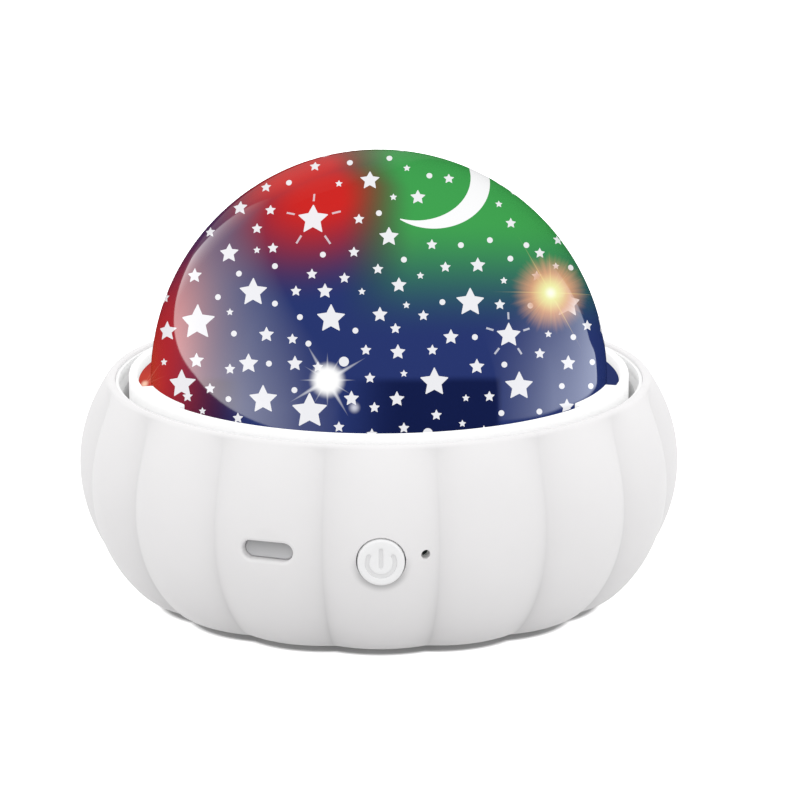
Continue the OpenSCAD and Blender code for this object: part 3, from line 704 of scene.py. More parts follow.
def sky():
    """All motifs of the print, as (slot, directions of the outline)."""
    motifs = [(MOONLIT, [seen_far(*p) for p in moon_outline()])]
    taken = [(seen_far(*p), 0.5) for p in moon_outline()[::2]]
    for table, outline in ((STARS, star_outline), (DOTS, dot_outline)):
        for radius, places in table.items():
            motifs += [(WHITE, on_dome(place, outline(radius))) for place in places]
            taken += [(seen(*place), radius) for place in places]
    for radius, place in RAYED_STARS.items():
        motifs.append((WHITE, on_dome(place, star_outline(radius))))
        motifs += [(RAY, on_dome(place, dash)) for dash in dash_outlines(radius)]
        taken.append((seen(*place), radius * RAYED_ROOM))

    # The rest of the dome, in the same mix of sizes
    draw = random.Random(11)
    top = Vector((0, 0, 1))

    def free_spot(radius, gap):
        for _ in range(4000):
            z, a = draw.uniform(0.05, 0.995), draw.uniform(0, 2 * math.pi)
            flat = math.sqrt(1 - z * z)
            spot = Vector((flat * math.sin(a), -flat * math.cos(a), z))
            if spot.dot(-FORWARD) > 0.12:
                continue
            if all((spot - d).length * DOME_R > radius + r + gap for d, r in taken):
                taken.append((spot, radius))
                return spot
        return None

    for table, room in ((FILL_RAYED, RAYED_ROOM), (FILL_STARS, 1)):
        for radius in [radius for radius, count in table.items() for _ in range(count)]:
            spot = free_spot(radius * room, FILL_GAP)
            if spot is not None:
                upward = top + top.cross(spot) * draw.uniform(-FILL_TILT, FILL_TILT)
                motifs.append((WHITE, laid(spot, star_outline(radius), upward)))
                if table is FILL_RAYED:
                    motifs += [(RAY, laid(spot, dash, upward)) for dash in dash_outlines(radius)]
    for radius in [radius for radius, count in FILL_DOTS.items() for _ in range(count)]:
        spot = free_spot(radius, DOT_GAP)
        if spot is not None:
            motifs.append((WHITE, laid(spot, dot_outline(radius), top)))
    return motifs


def dome_columns():
    """Directions of the columns of the brim: even ones, and a close pair at each edge of a notch."""
    edges = [direction + side * NOTCH_HALF + nudge
             for direction in LUG_DIRECTIONS for side in (-1, 1) for nudge in (-0.15, 0.15)]
    far = [a for a in range(0, 360, 2) if all(apart(a, e) > 0.7 for e in edges)]
    return sorted(far + [e % 360 for e in edges])


def brim_r(degrees):
    return NOTCH_R if any(apart(degrees, d) < NOTCH_HALF for d in LUG_DIRECTIONS) else BRIM_R


def chart(direction):
    """Flat map of the dome: distance from the middle is the angle from the top."""
    from_top = min(math.acos(max(-1.0, min(1.0, direction.z))), math.radians(PRINT_END))
    return Vector(polar(from_top, math.degrees(math.atan2(direction.x, -direction.y))))


def unchart(spot):
    t, a = spot.length, math.atan2(spot.y, spot.x)
    return at(DOME_R * math.sin(t), math.degrees(a), DOME_Z + DOME_R * math.cos(t))


def star_dome(materials):
    build = Build()
    columns = dome_columns()
    spots = [Vector(polar(math.pi / 2, a)) for a in columns]
    rim = len(spots)
    edges = [(i, (i + 1) % rim) for i in range(rim)]
    for k in range(DOME_ROWS):
        t = math.pi / 2 * k / DOME_ROWS
        n = max(1, round(4 * DOME_ROWS * math.sin(t)))
        spots += [Vector(polar(t, 360 * (i + 0.5 * (k % 2)) / n)) for i in range(n)]
    faces, kinds = [], []
    for slot, outline in sky():
        faces.append(list(range(len(spots), len(spots) + len(outline))))
        kinds.append(slot)
        spots += [chart(Vector(d)) for d in outline]
    made = geometry.delaunay_2d_cdt(spots, edges, faces, 0, 1e-5)
    skin = build.add(unchart(Vector(v)) for v in made[0])
    for face, origin in zip(made[2], made[5]):
        build.face([skin[v] for v in face], max((kinds[o] for o in origin), default=INK))

    # Brim with a notch at each lug, then the inner face up to the top
    soft, foot = 0.2, DOME_Z - BRIM_T
    ring = build.add(at(DOME_R, a, DOME_Z) for a in columns)
    for inset, z in ((soft, DOME_Z), (0, DOME_Z - soft), (0, foot + soft), (soft, foot)):
        ring = build.onward(ring, [at(brim_r(a) - inset, a, z) for a in columns], BRIM)
    ring = build.onward(ring, [at(DOME_IN_R, a, foot) for a in columns], BRIM)
    for rise in even_steps(0, 90, LINING_ROWS)[:-1]:
        r, z = polar(DOME_IN_R, rise)
        ring = build.onward(ring, [at(r, a, DOME_Z + z) for a in columns], LINING)
    build.fan(ring, (0, 0, DOME_Z + DOME_IN_R), LINING)
    dome = build.piece("star_dome", materials, "dome", "dome_cover", "dome_print")
    true_normals(dome.data)
    return dome


def true_normals(mesh):
    """Shades the outer skin as a true sphere, whatever the triangles."""
    normals = np.zeros(len(mesh.loops) * 3, np.float32)
    mesh.corner_normals.foreach_get("vector", normals)
    normals = normals.reshape(-1, 3)
    centre = Vector((0, 0, DOME_Z)) * MM
    for polygon in mesh.polygons:
        out = [mesh.vertices[v].co - centre for v in polygon.vertices]
        on_skin = all(abs(o.length / MM - DOME_R) < 0.01 and o.z > -1e-6 for o in out)
        if not on_skin or polygon.normal.dot(out[0]) <= 0:
            continue
        if min(o.z for o in out) / MM < 0.001 and abs(polygon.normal.z) > 0.9:
            continue
        for loop, o in zip(polygon.loop_indices, out):
            normals[loop] = o.normalized()
    mesh.normals_split_custom_set(normals)


# ---------------------------------------------------------------- materials

def srgb(r, g, b):
    """Linear colour from 0 to 255 values as they are seen."""
    def line(v):
        v /= 255
        return v / 12.92 if v <= 0.04045 else ((v + 0.055) / 1.055) ** 2.4
    return (line(r), line(g), line(b), 1)


def grey(value):
    return (value, value, value, 1)


class Tree:
    """A node tree under construction, with short calls for the nodes used most."""

    def __init__(self, tree):
        self.tree = tree
        tree.nodes.clear()

    def node(self, kind, inputs=(), **props):
        made = self.tree.nodes.new(kind)
        for key, value in props.items():
            setattr(made, key, value)
        for key, value in dict(inputs).items():
            self.feed(made.inputs[key], value)
        return made

    def feed(self, socket, value):
        if isinstance(value, bpy.types.NodeSocket):
            self.tree.links.new(value, socket)
        else:
            socket.default_value = value

    def show(self, shader, kind="Material"):
        """Makes a shader what the material, the world or the light shows."""
        self.node("ShaderNodeOutput" + kind, {0: shader.outputs[0]})

    def emission(self, strength, colour=(1, 1, 1, 1)):
        return self.node("ShaderNodeEmission", {"Strength": strength, "Color": colour})

    def math(self, operation, *values, clamp=False):
        made = self.node("ShaderNodeMath", enumerate(values), operation=operation, use_clamp=clamp)
        return made.outputs[0]

    def chain(self, operation, values):
        out = values[0]
        for value in values[1:]:
            out = self.math(operation, out, value)
        return out

    def times(self, *values):
        return self.chain("MULTIPLY", values)

    def plus(self, *values):
        return self.chain("ADD", values)

    def most(self, *values):
        return self.chain("MAXIMUM", values)

    def minus(self, a, b, clamp=False):
        return self.math("SUBTRACT", a, b, clamp=clamp)

    def flat(self, x, y):
        """Length of a flat line with these two sides."""
        return self.math("SQRT", self.plus(self.times(x, x), self.times(y, y)))

    def vector(self, operation, *values, output="Value"):
        return self.node("ShaderNodeVectorMath", enumerate(values), operation=operation).outputs[output]

    def axes(self):
        return self.node("ShaderNodeSeparateXYZ", {0: self.place}).outputs

    def span(self, value, low, high, to_low=0.0, to_high=1.0, kind="LINEAR"):
        """Value brought from one range to another, and kept inside it."""
        inputs = {"Value": value, "From Min": low, "From Max": high, "To Min": to_low, "To Max": to_high}
        return self.node("ShaderNodeMapRange", inputs, interpolation_type=kind).outputs[0]

    def soft(self, *ranges):
        """Like span(), but with soft ends."""
        return self.span(*ranges, kind="SMOOTHSTEP")

    def by_height(self, low, high, *to):
        """Like span(), of the height in millimetres."""
        return self.span(self.axes()["Z"], low * MM, high * MM, *to)

    def shown(self):
        """1 for camera, glossy and transmission rays."""
        path = self.node("ShaderNodeLightPath").outputs
        return self.most(*[path[f"Is {ray} Ray"] for ray in ("Camera", "Glossy", "Transmission")])


class Bare(Tree):
    """Nodes of a new material, still without a surface."""

    def __init__(self, name):
        self.material = bpy.data.materials.new(name)
        self.material.use_nodes = True
        super().__init__(self.material.node_tree)
        self.place = self.node("ShaderNodeTexCoord").outputs["Object"]


class Shader(Bare):
    """Nodes of a new material with a principled surface."""

    def __init__(self, name, **settings):
        super().__init__(name)
        self.bsdf = self.node("ShaderNodeBsdfPrincipled")
        self.show(self.bsdf)
        self.set(**settings)

    def set(self, **settings):
        for key, value in settings.items():
            self.feed(self.bsdf.inputs[key.replace("_", " ")], value)

    def mix(self, factor, a, b, blend="MIX"):
        inputs = {0: factor, 6: a, 7: b}
        return self.node("ShaderNodeMix", data_type="RGBA", blend_type=blend, inputs=inputs).outputs[2]

    def noise(self, scale, detail=3.0, rough=0.5, stretch=(1, 1, 1)):
        place = self.place
        if stretch != (1, 1, 1):
            place = self.node("ShaderNodeMapping", {"Vector": place, "Scale": stretch}).outputs[0]
        inputs = {"Vector": place, "Scale": scale, "Detail": detail, "Roughness": rough}
        return self.node("ShaderNodeTexNoise", inputs).outputs[0]

    def mottled(self, noise, low, colour, dark):
        """The colour, less bright where the noise is low."""
        return self.mix(self.span(noise, low, 0.7), [c * dark for c in colour[:3]] + [1], colour)

    def rough(self, noise, low, high):
        """Roughness between two values, as the noise has it."""
        self.set(Roughness=self.span(noise, 0.3, 0.7, low, high))

    def bump(self, height, strength, distance):
        inputs = {"Height": height, "Strength": strength, "Distance": distance}
        self.set(Normal=self.node("ShaderNodeBump", inputs).outputs[0])

    def distance(self, spot):
        """Distance in millimetres from a place."""
        return self.math("DIVIDE", self.vector("DISTANCE", self.place, Vector(spot) * MM), MM)


def plastic(name, colour, rough=0.4, grain=1.0, spread=0.03, shade=None, glow=0.0):
    """Moulded plastic: fine mould texture, slow changes of tone and gloss. shade darkens it by place, and
    glow is painted light that the plastic gives off in its own tone."""
    s = Shader(name, IOR=1.46)
    tone = s.mottled(s.noise(38), 0.35, colour, 1 - spread)
    if shade:
        tone = s.mix(1.0, tone, shade(s), "MULTIPLY")
    s.set(Base_Color=tone, Emission_Color=tone if glow else colour, Emission_Strength=glow)
    s.rough(s.noise(95, 4, 0.6), rough - 0.04, rough + 0.05)
    s.bump(s.noise(2600, 2, 0.6), 0.12 * grain, 0.00005)
    return s.material


GROOVE_SHADES = ((0.055, 0.7), (0.055, 3.0))            # share of the light lost, and over what width
GROOVE_SHADE_FULL, GROOVE_SHADE_FOOT = 20, 5            # heights
GROOVE_RIM_SHADE, GROOVE_FOOT_SHADE = 0.3, 1.9          # times as dark at the rim and at the foot
BUTTON_SHADE, BUTTON_SHADE_WIDTH, BUTTON_SHADE_DROP = 0.4, 2.0, 0.4
GAP_SHADE = (38.5, 43.0, 0.42, 1.0)                     # two heights, and the brightness at each
PLUG_SHADE = (SLOT_Z - 1.7, SLOT_Z + 1.7, 1.0, 0.58)
COLLAR_SHADE = (LEDGE_Z, COLLAR_Z, 0.34, 0.06)          # two heights, and the share lost at each


def lobe_place(s):
    """0 in the middle of a lobe, 0.5 in a groove."""
    x, y, _ = s.axes()
    azimuth = s.math("ARCTAN2", x, s.times(y, -1.0))
    return s.math("PINGPONG", s.times(azimuth, LOBES / (2 * math.pi)), 0.5)


def groove_shade(s):
    """What is left of the shell's tone beside its grooves and under the button, where less light falls."""
    away = s.times(s.minus(0.5, lobe_place(s)), 2 * math.pi * BELLY_R / LOBES)
    dark = s.plus(*[s.times(s.math("EXPONENT", s.math("DIVIDE", away, -reach)), share)
                    for share, reach in GROOVE_SHADES])
    dark = s.times(s.by_height(RIM_Z, GROOVE_SHADE_FULL, GROOVE_RIM_SHADE, 1.0),
                   s.by_height(GROOVE_SHADE_FULL, GROOVE_SHADE_FOOT, 1.0, GROOVE_FOOT_SHADE), dark)
    from_button = s.distance(at(BELLY_R, 0, BUTTON_Z - BUTTON_SHADE_DROP))
    edge = BUTTON_R - 0.1
    under = s.times(s.soft(from_button, edge, edge + BUTTON_SHADE_WIDTH, BUTTON_SHADE, 0.0),
                    s.by_height(BUTTON_Z + 1, BUTTON_Z - 4))
    return s.minus(1.0, s.plus(dark, under))


def gap_shade(s):
    """Brightness of the deck: less, the deeper a place lies in the gap round the turntable."""
    return s.by_height(*GAP_SHADE)


def plug_shade(s):
    """Brightness of the dust plug: the upper edge of the slot shades it."""
    return s.by_height(*PLUG_SHADE)


def collar_shade(s):
    """Brightness of the turntable: the inner wall of its collar is a little darker, most at its foot."""
    x, y, _ = s.axes()
    inside = s.span(s.flat(x, y), (COLLAR_IN_R + 0.5) * MM, (COLLAR_IN_R + 0.05) * MM)
    return s.minus(1.0, s.times(inside, s.by_height(*COLLAR_SHADE)))


def metal(name, colour, rough=0.3, stretch=(1, 1, 30)):
    """Metal with fine lines and slightly uneven polish."""
    s = Shader(name, Metallic=1.0)
    lines = s.noise(260, 3, 0.6, stretch)
    s.set(Base_Color=s.mottled(lines, 0.3, colour, 0.86))
    s.rough(s.noise(140), rough - 0.06, rough + 0.08)
    s.bump(lines, 0.08, 0.00005)
    return s.material


def rubber(name, colour):
    s = Shader(name, IOR=1.5)
    s.set(Base_Color=s.mottled(s.noise(120, 4), 0.35, colour, 0.88))
    s.rough(s.noise(400), 0.7, 0.85)
    s.bump(s.noise(1500, 3, 0.7), 0.25, 0.00008)
    return s.material


def circuit_board(name, colour, trace):
    """Solder mask with copper tracks that show faintly beneath it."""
    s = Shader(name, IOR=1.5)
    inputs = {"Vector": s.place, "Color1": grey(0.0), "Color2": grey(0.25), "Mortar": grey(1.0),
              "Scale": 260.0, "Mortar Size": 0.03}
    grid = s.node("ShaderNodeTexBrick", inputs).outputs[0]
    warp = s.span(s.noise(160, 2), 0.45, 0.55)
    s.set(Base_Color=s.mix(s.math("MULTIPLY", grid, warp, clamp=True), colour, trace))
    s.rough(s.noise(300, 2), 0.25, 0.4)
    s.bump(grid, 0.2, 0.00003)
    return s.material


def lens(name, colour, glow):
    s = Shader(name, Roughness=0.15, IOR=1.45, Transmission_Weight=0.4)
    s.set(Base_Color=s.mottled(s.noise(900, 2), 0.3, colour, 0.9), Emission_Color=colour,
          Emission_Strength=glow)
    return s.material


# ---------------------------------------------------------------- colours of the print and painted light of the coloured lamps

# Where they lie in the front view, in millimetres right of, above and in front of the dome's centre
NAVY, NAVY_LOW = srgb(41, 55, 111), srgb(20, 30, 74)
NAVY_EDGE, NAVY_SOFT = -0.5, 0.9
NAVY_LOW_MIDDLE, NAVY_LOW_LEFT = ((-9, 5), (24.2, 22.4)), (-25, -33)
GREEN, GREEN_RISE, GREEN_SIDE = srgb(64, 160, 80), (7, 31), (-8.0, 7.0)
GREEN_LEAN, GREEN_FRONT = (37, 45.5, 0.0, 3.8), (-24, -4)
SEAM, SEAM_DARK = (0.02, 0.02, 0.01, 1), 0.18
BLEND = 2.2     # power by which the print and the painted light blend in steps that look even
# ROSE, RED, ORANGE and GREEN are painted light: pools of the coloured lamps' light on the dome, laid into
# its colour.
ROSE, ROSE_SPOTS, ROSE_REACH = srgb(181, 44, 51), [(-44.0, 4.0, 12.0), (-46.0, 0.0, -12.0)], (5, 36)
ORANGE, ORANGE_SPOTS, ORANGE_REACH = srgb(201, 62, 47), [(-45.0, -2.5, 3.0)], (5, 18)
RED, RED_SPOTS, RED_REACH = srgb(205, 40, 37), [(-11.3, 36.5), (-15.5, 41.5)], (4, 27.2)
FAR_LIGHT_POOLS = [     # painted lamp light on the far side: direction from the front, height angle, full within and gone beyond, colour
    (172, 62, (7, 29), RED),
    (132, 30, (8, 31), srgb(190, 30, 44)),
    (212, 36, (10, 33), srgb(50, 150, 78)),
    (236, 20, (5, 23), srgb(104, 36, 118)),
    (124, 22, (4, 22), srgb(92, 40, 124)),
]

# Bursts of light in the front view. Each line runs both ways from the middle: reach, direction, half width
# and share of the burst's light. Each round glow has its outer and inner radius, and its colour.
FLARE, SPARK, GLINT, EAR_GLINT = (34.35, 16.95), (-10.3, -0.5), (-4.9, -6.0), (-46.6, -1.3)
FLARE_LINES = [(12.0, 0, 0.26, 0.5), (8.4, 90, 0.26, 0.6), (13.5, 119.5, 0.24, 0.6), (7.0, 47, 0.3, 0.4),
               (6.6, 135, 0.26, 0.25), (6.4, 66, 0.24, 0.3), (5.8, 22, 0.24, 0.25)]
SPARK_LINES = [(8.7, 30.3, 0.8, 0.95), (8.2, 120, 0.8, 0.9), (5.5, 90, 0.62, 0.75), (5.6, 0, 0.62, 0.75),
               (5.4, 60, 0.5, 0.7), (5.4, 149, 0.5, 0.7)]
EAR_LINES = [(7.4, 47.5, 0.12, 0.4), (6.0, 18, 0.1, 0.25), (5.2, 70, 0.1, 0.25), (4.4, 34, 0.1, 0.25)]
FLARE_LINE_COLOUR, SPARK_LINE_COLOUR = srgb(250, 226, 150), srgb(250, 251, 255)
EAR_LINE_COLOUR, EAR_GLOW, EAR_GLOW_COLOUR = srgb(255, 196, 170), (1.0, 0.1), srgb(255, 206, 180)
FLARE_HALO, FLARE_HALO_COLOUR = (8.1, 2.8), srgb(222, 165, 127)
FLARE_GLOWS = [((4.4, 0.8), srgb(239, 241, 167)), ((1.6, 0.0), srgb(255, 255, 237))]
SPARK_GLOW, SPARK_GLOW_COLOUR = (3.8, 1.8), srgb(255, 255, 255)
GLINT_GLOW, GLINT_COLOUR = (1.38, 0.0, 0.0, 0.7), srgb(243, 244, 255)
FLARE_RIPPLES, FLARE_RIPPLE_DEPTH = 50, 0.07
LIT_SIDE = (-4, -2)                     # how far to the front the bursts begin


def in_view(s):
    """Right, up and towards the front, from the dome's centre, in millimetres."""
    from_centre = s.vector("SUBTRACT", s.place, CENTRE * MM, output="Vector")
    return [s.vector("DOT_PRODUCT", from_centre, axis / MM) for axis in (RIGHT, UP, -FORWARD)]


class Burst:
    """Distances in the front view from a place on the dome."""

    def __init__(self, s, x, up, spot):
        if math.hypot(*spot) < DOME_R:
            place = seen(*spot) * DOME_R
            spot = (place.dot(RIGHT), place.dot(UP))
        self.s = s
        self.across, self.rise = s.minus(x, spot[0]), s.minus(up, spot[1])
        self.away = s.flat(self.across, self.rise)

    def along(self, direction):
        u = polar(1, direction)
        return self.s.plus(self.s.times(self.across, u[0]), self.s.times(self.rise, u[1]))

    def lines(self, lines):
        """Share of light in straight rays that thin out and fade both ways from the middle."""
        s, rays = self.s, []
        for reach, direction, half, peak in lines:
            left = s.span(s.math("ABSOLUTE", self.along(direction)), 0, reach, 1.0, 0.0)
            aside = s.math("ABSOLUTE", self.along(direction + 90))
            body = s.minus(1.0, s.math("DIVIDE", aside, s.times(left, half)), clamp=True)
            rays.append(s.times(body, peak, s.math("POWER", left, 0.8)))
        return s.most(*rays)

    def rippled(self, count, depth):
        """Distance made shorter and longer by turns round the middle, for a fringe of fine rays."""
        s = self.s
        inputs = {"W": s.math("ARCTAN2", self.rise, self.across), "Scale": count / math.tau, "Detail": 2.0}
        fine = s.node("ShaderNodeTexNoise", noise_dimensions="1D", inputs=inputs).outputs[0]
        return s.times(self.away, s.span(fine, 0.25, 0.75, 1 - depth, 1 + depth))


def view_place(x, up, front):
    return CENTRE + RIGHT * x + UP * up - FORWARD * front


def even(colour):
    """A linear colour in the steps in which the print and the painted light blend."""
    return tuple(v ** (1 / BLEND) for v in colour[:3]) + (1,)


def painted_light_pools():
    """Painted pools of the coloured lamps' light: their middles, reach and colour."""
    yield [view_place(*spot) for spot in ROSE_SPOTS], ROSE_REACH, ROSE
    yield [CENTRE + seen_far(*spot) * DOME_R for spot in RED_SPOTS], RED_REACH, RED
    yield [view_place(*spot) for spot in ORANGE_SPOTS], ORANGE_REACH, ORANGE
    for direction, height, reach, tint in FAR_LIGHT_POOLS:
        flat, rise = polar(DOME_R, height)
        yield [at(flat, direction, DOME_Z + rise)], reach, tint


def ink_and_painted_light(s, x, up, front):
    """Colour at a place of the front view: the navy print, with painted pools of the coloured lamps' light
    laid over it.
    """
    cloud = s.times(s.minus(s.noise(30, 2), 0.5), 4.0)
    low = s.soft(s.plus(up, s.times(cloud, 0.3)), NAVY_EDGE + NAVY_SOFT, NAVY_EDGE - NAVY_SOFT)
    middle = s.times(*[s.soft(x, *side) for side in NAVY_LOW_MIDDLE])
    colour = s.mix(s.times(low, s.most(middle, s.soft(x, *NAVY_LOW_LEFT))), even(NAVY), even(NAVY_LOW))
    for spots, reach, tint in painted_light_pools():
        share = s.most(*[s.soft(s.plus(s.distance(spot), cloud), *reach, 1.0, 0.0) for spot in spots])
        colour = s.mix(share, colour, even(tint))
    side = s.soft(s.plus(x, s.span(up, *GREEN_LEAN), cloud), *GREEN_SIDE)
    rise = s.soft(s.plus(up, s.times(cloud, 0.6)), *GREEN_RISE)
    ahead = s.soft(front, *GREEN_FRONT)
    colour = s.mix(s.times(side, rise, ahead), colour, even(GREEN))
    seam = s.times(side, s.minus(1.0, side), 4 * SEAM_DARK, rise, ahead)
    colour = s.mix(seam, colour, even(SEAM))
    return s.node("ShaderNodeGamma", {"Color": colour, "Gamma": BLEND}).outputs[0]


def bursts(s, x, up, front):
    """Light that shines through the print: shares and colours, one laid over the other."""
    flare, spark, glint, ear = [Burst(s, x, up, spot) for spot in (FLARE, SPARK, GLINT, EAR_GLINT)]
    layers = [(s.soft(flare.rippled(FLARE_RIPPLES, FLARE_RIPPLE_DEPTH), *FLARE_HALO), FLARE_HALO_COLOUR),
              (flare.lines(FLARE_LINES), FLARE_LINE_COLOUR)]
    layers += [(s.soft(flare.away, *radii), tint) for radii, tint in FLARE_GLOWS]
    layers += [(spark.lines(SPARK_LINES), SPARK_LINE_COLOUR),
               (s.soft(spark.away, *SPARK_GLOW), SPARK_GLOW_COLOUR),
               (s.soft(glint.away, *GLINT_GLOW), GLINT_COLOUR),
               (ear.lines(EAR_LINES), EAR_LINE_COLOUR),
               (s.soft(ear.away, *EAR_GLOW), EAR_GLOW_COLOUR)]
    lit_side = s.span(front, *LIT_SIDE)
    return [(s.times(share, lit_side), tint) for share, tint in layers]


def printed(name, cover=None, share=0.0, gloss=0.5, rough=0.05, own_light=0.5):
    """One ink of the dome. cover is laid over the night sky and its painted lamp light by its share. Part
    of the colour glows by itself, as the lamps inside shine through, and the bursts of light are laid over
    it."""
    s = Shader(name, Roughness=rough, IOR=1.45, Specular_IOR_Level=gloss, Emission_Strength=1.0)
    view = in_view(s)
    colour = ink_and_painted_light(s, *view)
    if cover:
        colour = s.mix(share, colour, cover)
    base = s.mix(1.0, colour, grey(1 - own_light), "MULTIPLY")
    glow = s.mix(1.0, colour, grey(own_light), "MULTIPLY")
    for part, tint in bursts(s, *view):
        base = s.mix(part, base, grey(0.0))
        glow = s.mix(part, glow, tint)
    s.set(Base_Color=base, Emission_Color=glow)
    return s.material


# ---------------------------------------------------------------- finishes of the CAD nodes that stay

def dress_cad_nodes():
    """Gives every CAD node that stays its own procedural finish."""
    steel = metal("screw_steel", (0.62, 0.62, 0.64, 1), 0.28)
    ivory = plastic("gear_plastic", (0.78, 0.74, 0.62, 1), 0.42, 0.6)
    finishes = {
        "bottom_cover": plastic("cover_plastic", (0.80, 0.80, 0.805, 1), 0.5, 1.6),
        "rubber_feet": rubber("foot_rubber", (0.56, 0.56, 0.57, 1)),
        "inner_deck": plastic("deck_plastic", grey(0.94), 0.45, 1.0, 0.015, gap_shade),
        "turntable_gear": ivory,
        "drive_pinion": ivory,
        "thrust_washer": plastic("washer_plastic", (0.88, 0.88, 0.86, 1), 0.3, 0.5),
        "gear_motor": metal("motor_can", (0.56, 0.57, 0.58, 1), 0.32, (1, 1, 14)),
        "motor_shaft": metal("shaft_brass", (0.72, 0.52, 0.22, 1), 0.25, (1, 1, 20)),
        "led_column": plastic("column_plastic", grey(0.94), 0.45, 1.0, 0.015),
        "led_board": circuit_board("lamp_board", (0.80, 0.80, 0.79, 1), (0.55, 0.56, 0.54, 1)),
        "main_board": circuit_board("board_green", (0.012, 0.10, 0.045, 1), (0.05, 0.24, 0.09, 1)),
        "tact_switch": plastic("switch_black", (0.02, 0.02, 0.022, 1), 0.35),
        "switch_plunger": plastic("plunger_plastic", (0.75, 0.72, 0.64, 1), 0.4),
        "usb_socket": metal("socket_steel", (0.66, 0.66, 0.68, 1), 0.24, (30, 30, 1)),
        "usb_tongue": plastic("tongue_black", grey(0.03), 0.4),
        "indicator_led": plastic("header_ivory", (0.82, 0.78, 0.66, 1), 0.3, 0.5),
        "control_chip": plastic("chip_black", (0.018, 0.018, 0.02, 1), 0.55, 2.0),
        "board_inductor": plastic("inductor_grey", (0.10, 0.10, 0.105, 1), 0.6, 2.0),
        "board_capacitor": metal("capacitor_can", (0.7, 0.7, 0.71, 1), 0.22, (1, 1, 8)),
        "board_headers": plastic("header_ivory", (0.82, 0.79, 0.70, 1), 0.4),
        "battery_cell": plastic("cell_sleeve", (0.06, 0.065, 0.075, 1), 0.25, 0.4, 0.1),
        "battery_cradle": plastic("cradle_plastic", (0.78, 0.78, 0.785, 1), 0.5),
        "battery_strap": rubber("strap_foam", (0.06, 0.06, 0.065, 1)),
        "led_lead": plastic("lead_red", (0.42, 0.02, 0.02, 1), 0.35, 0.4),
        "motor_lead": plastic("lead_orange", (0.62, 0.22, 0.02, 1), 0.35, 0.4),
        "battery_lead": plastic("lead_red", (0.42, 0.02, 0.02, 1), 0.35, 0.4),
    }
    for name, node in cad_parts.items():
        if name.endswith("_screws"):
            finishes[name] = steel
        if name in finishes:
            node.data.materials.clear()
            node.data.materials.append(finishes[name])


# ---------------------------------------------------------------- lamps on the lamp board

CHIP_HALF, CHIP_CORNER, CHIP_H, CHIP_CHAMFER = 2.5, 0.4, 1.6, 0.12
CUP_R, CUP_FLOOR_R, CUP_DEPTH = 1.9, 1.5, 0.5
ROUND_R, ROUND_FOOT_H = 1.6, 0.5


def led_piece(node, colour, glow, slot):
    """Lamp: a chamfered square body with a cup, or a plain round one, and a low clear lens."""
    low, high = [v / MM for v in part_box(node)]
    x, y = (low.x + high.x) / 2, (low.y + high.y) / 2
    square = node != "led_warm_white"
    turned = math.degrees(math.atan2(x, -y)) if square else 0

    def place(p, q, z):
        right, back = polar(1, turned)
        return (x + p * right - q * back, y + p * back + q * right, z)

    def ring(r, z, count=40):
        return [place(*spot, z) for spot in circle(r, count)]

    def square_ring(inset, z, steps=8):
        reach = (CHIP_HALF - CHIP_CORNER) * math.sqrt(2)
        out = []
        for start in range(0, 360, 90):
            middle = Vector(polar(reach, start + 45))
            out += [place(*(middle + Vector(polar(CHIP_CORNER - inset, a))), z)
                    for a in even_steps(start, start + 90, steps)]
        return out

    build = Build()
    if square:
        top = low.z + CHIP_H
        radius, lens_low, lens_h = CUP_R - 0.03, top - CHIP_CHAMFER, 0.45
        body = [square_ring(0, low.z), square_ring(0, top - CHIP_CHAMFER), square_ring(CHIP_CHAMFER, top)]
        around = len(body[0])
        floor_z = top - CUP_DEPTH
        ids = build.loft(body + [ring(CUP_R, top, around), ring(CUP_FLOOR_R, floor_z, around)], first=True)
        build.fan(ids[-1], place(0, 0, floor_z))
    else:
        radius, lens_low = ROUND_R, low.z + ROUND_FOOT_H
        lens_h = high.z - lens_low
        build.loft([ring(ROUND_R, low.z), ring(ROUND_R, lens_low - 0.08), ring(ROUND_R - 0.05, lens_low)],
                   first=True, last=True)
    arc = [polar(1, a) for a in even_steps(0, 90, 8)[:-1]]
    ids = build.loft([ring(radius * a, lens_low + lens_h * b) for a, b in arc], 1, first=True)
    build.fan(ids[-1], place(0, 0, lens_low + lens_h), 1)
    materials = [plastic(slot, (0.86, 0.86, 0.84, 1), 0.35, 0.5), lens(node + "_lens", colour, glow)]
    return build.piece(node + "_lamp", materials, "base", node, slot)


# ---------------------------------------------------------------- studio

AMBIENT = 1.1
FLOOR_TONE, FLOOR_REACH = 0.73, 6000
FLOOR_LIFT, FLOOR_NEAR = 1.0, 0.05      # brightness the camera sees besides, far from and under the object
SHADOW_FROM, SHADOW_TO = 44.8, 47.2
SHADOW_INLET = 1.4                      # the shadow is this much smaller at the grooves
TENT_R, TENT_LOW, TENT_H, TENT_RISE = 1300, -150, 1000, 60
LAMPS = [("top", (0.0, -0.1, 1.2), (1.0, 1.0), 0.74), ("right", (1.0, -0.3, 0.5), (0.6, 0.9), 0.48),
         ("left", (-1.0, -0.3, 0.5), (0.6, 0.9), 0.06)]
LAMPS_AIM = Vector((0, 0, 0.05))


def staged(name, points, faces):
    """Studio object with a material of its own, and the nodes of that material."""
    mesh = bpy.data.meshes.new(name)
    mesh.from_pydata([Vector(p) * MM for p in points], [], faces)
    nodes = Bare(name)
    mesh.materials.append(nodes.material)
    made = add_object(name, mesh)
    return made, nodes


def area_light(name, place, towards, size, power):
    """Rectangular lamp, in metres, that faces in the direction of towards."""
    data = bpy.data.lights.new(name, "AREA")
    data.shape, data.size, data.size_y = "RECTANGLE", size[0], size[1]
    data.energy = power
    made = add_object(name, data)
    made.location = place
    made.rotation_euler = towards.to_track_quat("-Z", "Y").to_euler()
    return made


def hide(obj, *rays):
    """Makes an object unseen by some rays."""
    for ray in rays:
        setattr(obj, "visible_" + ray, False)


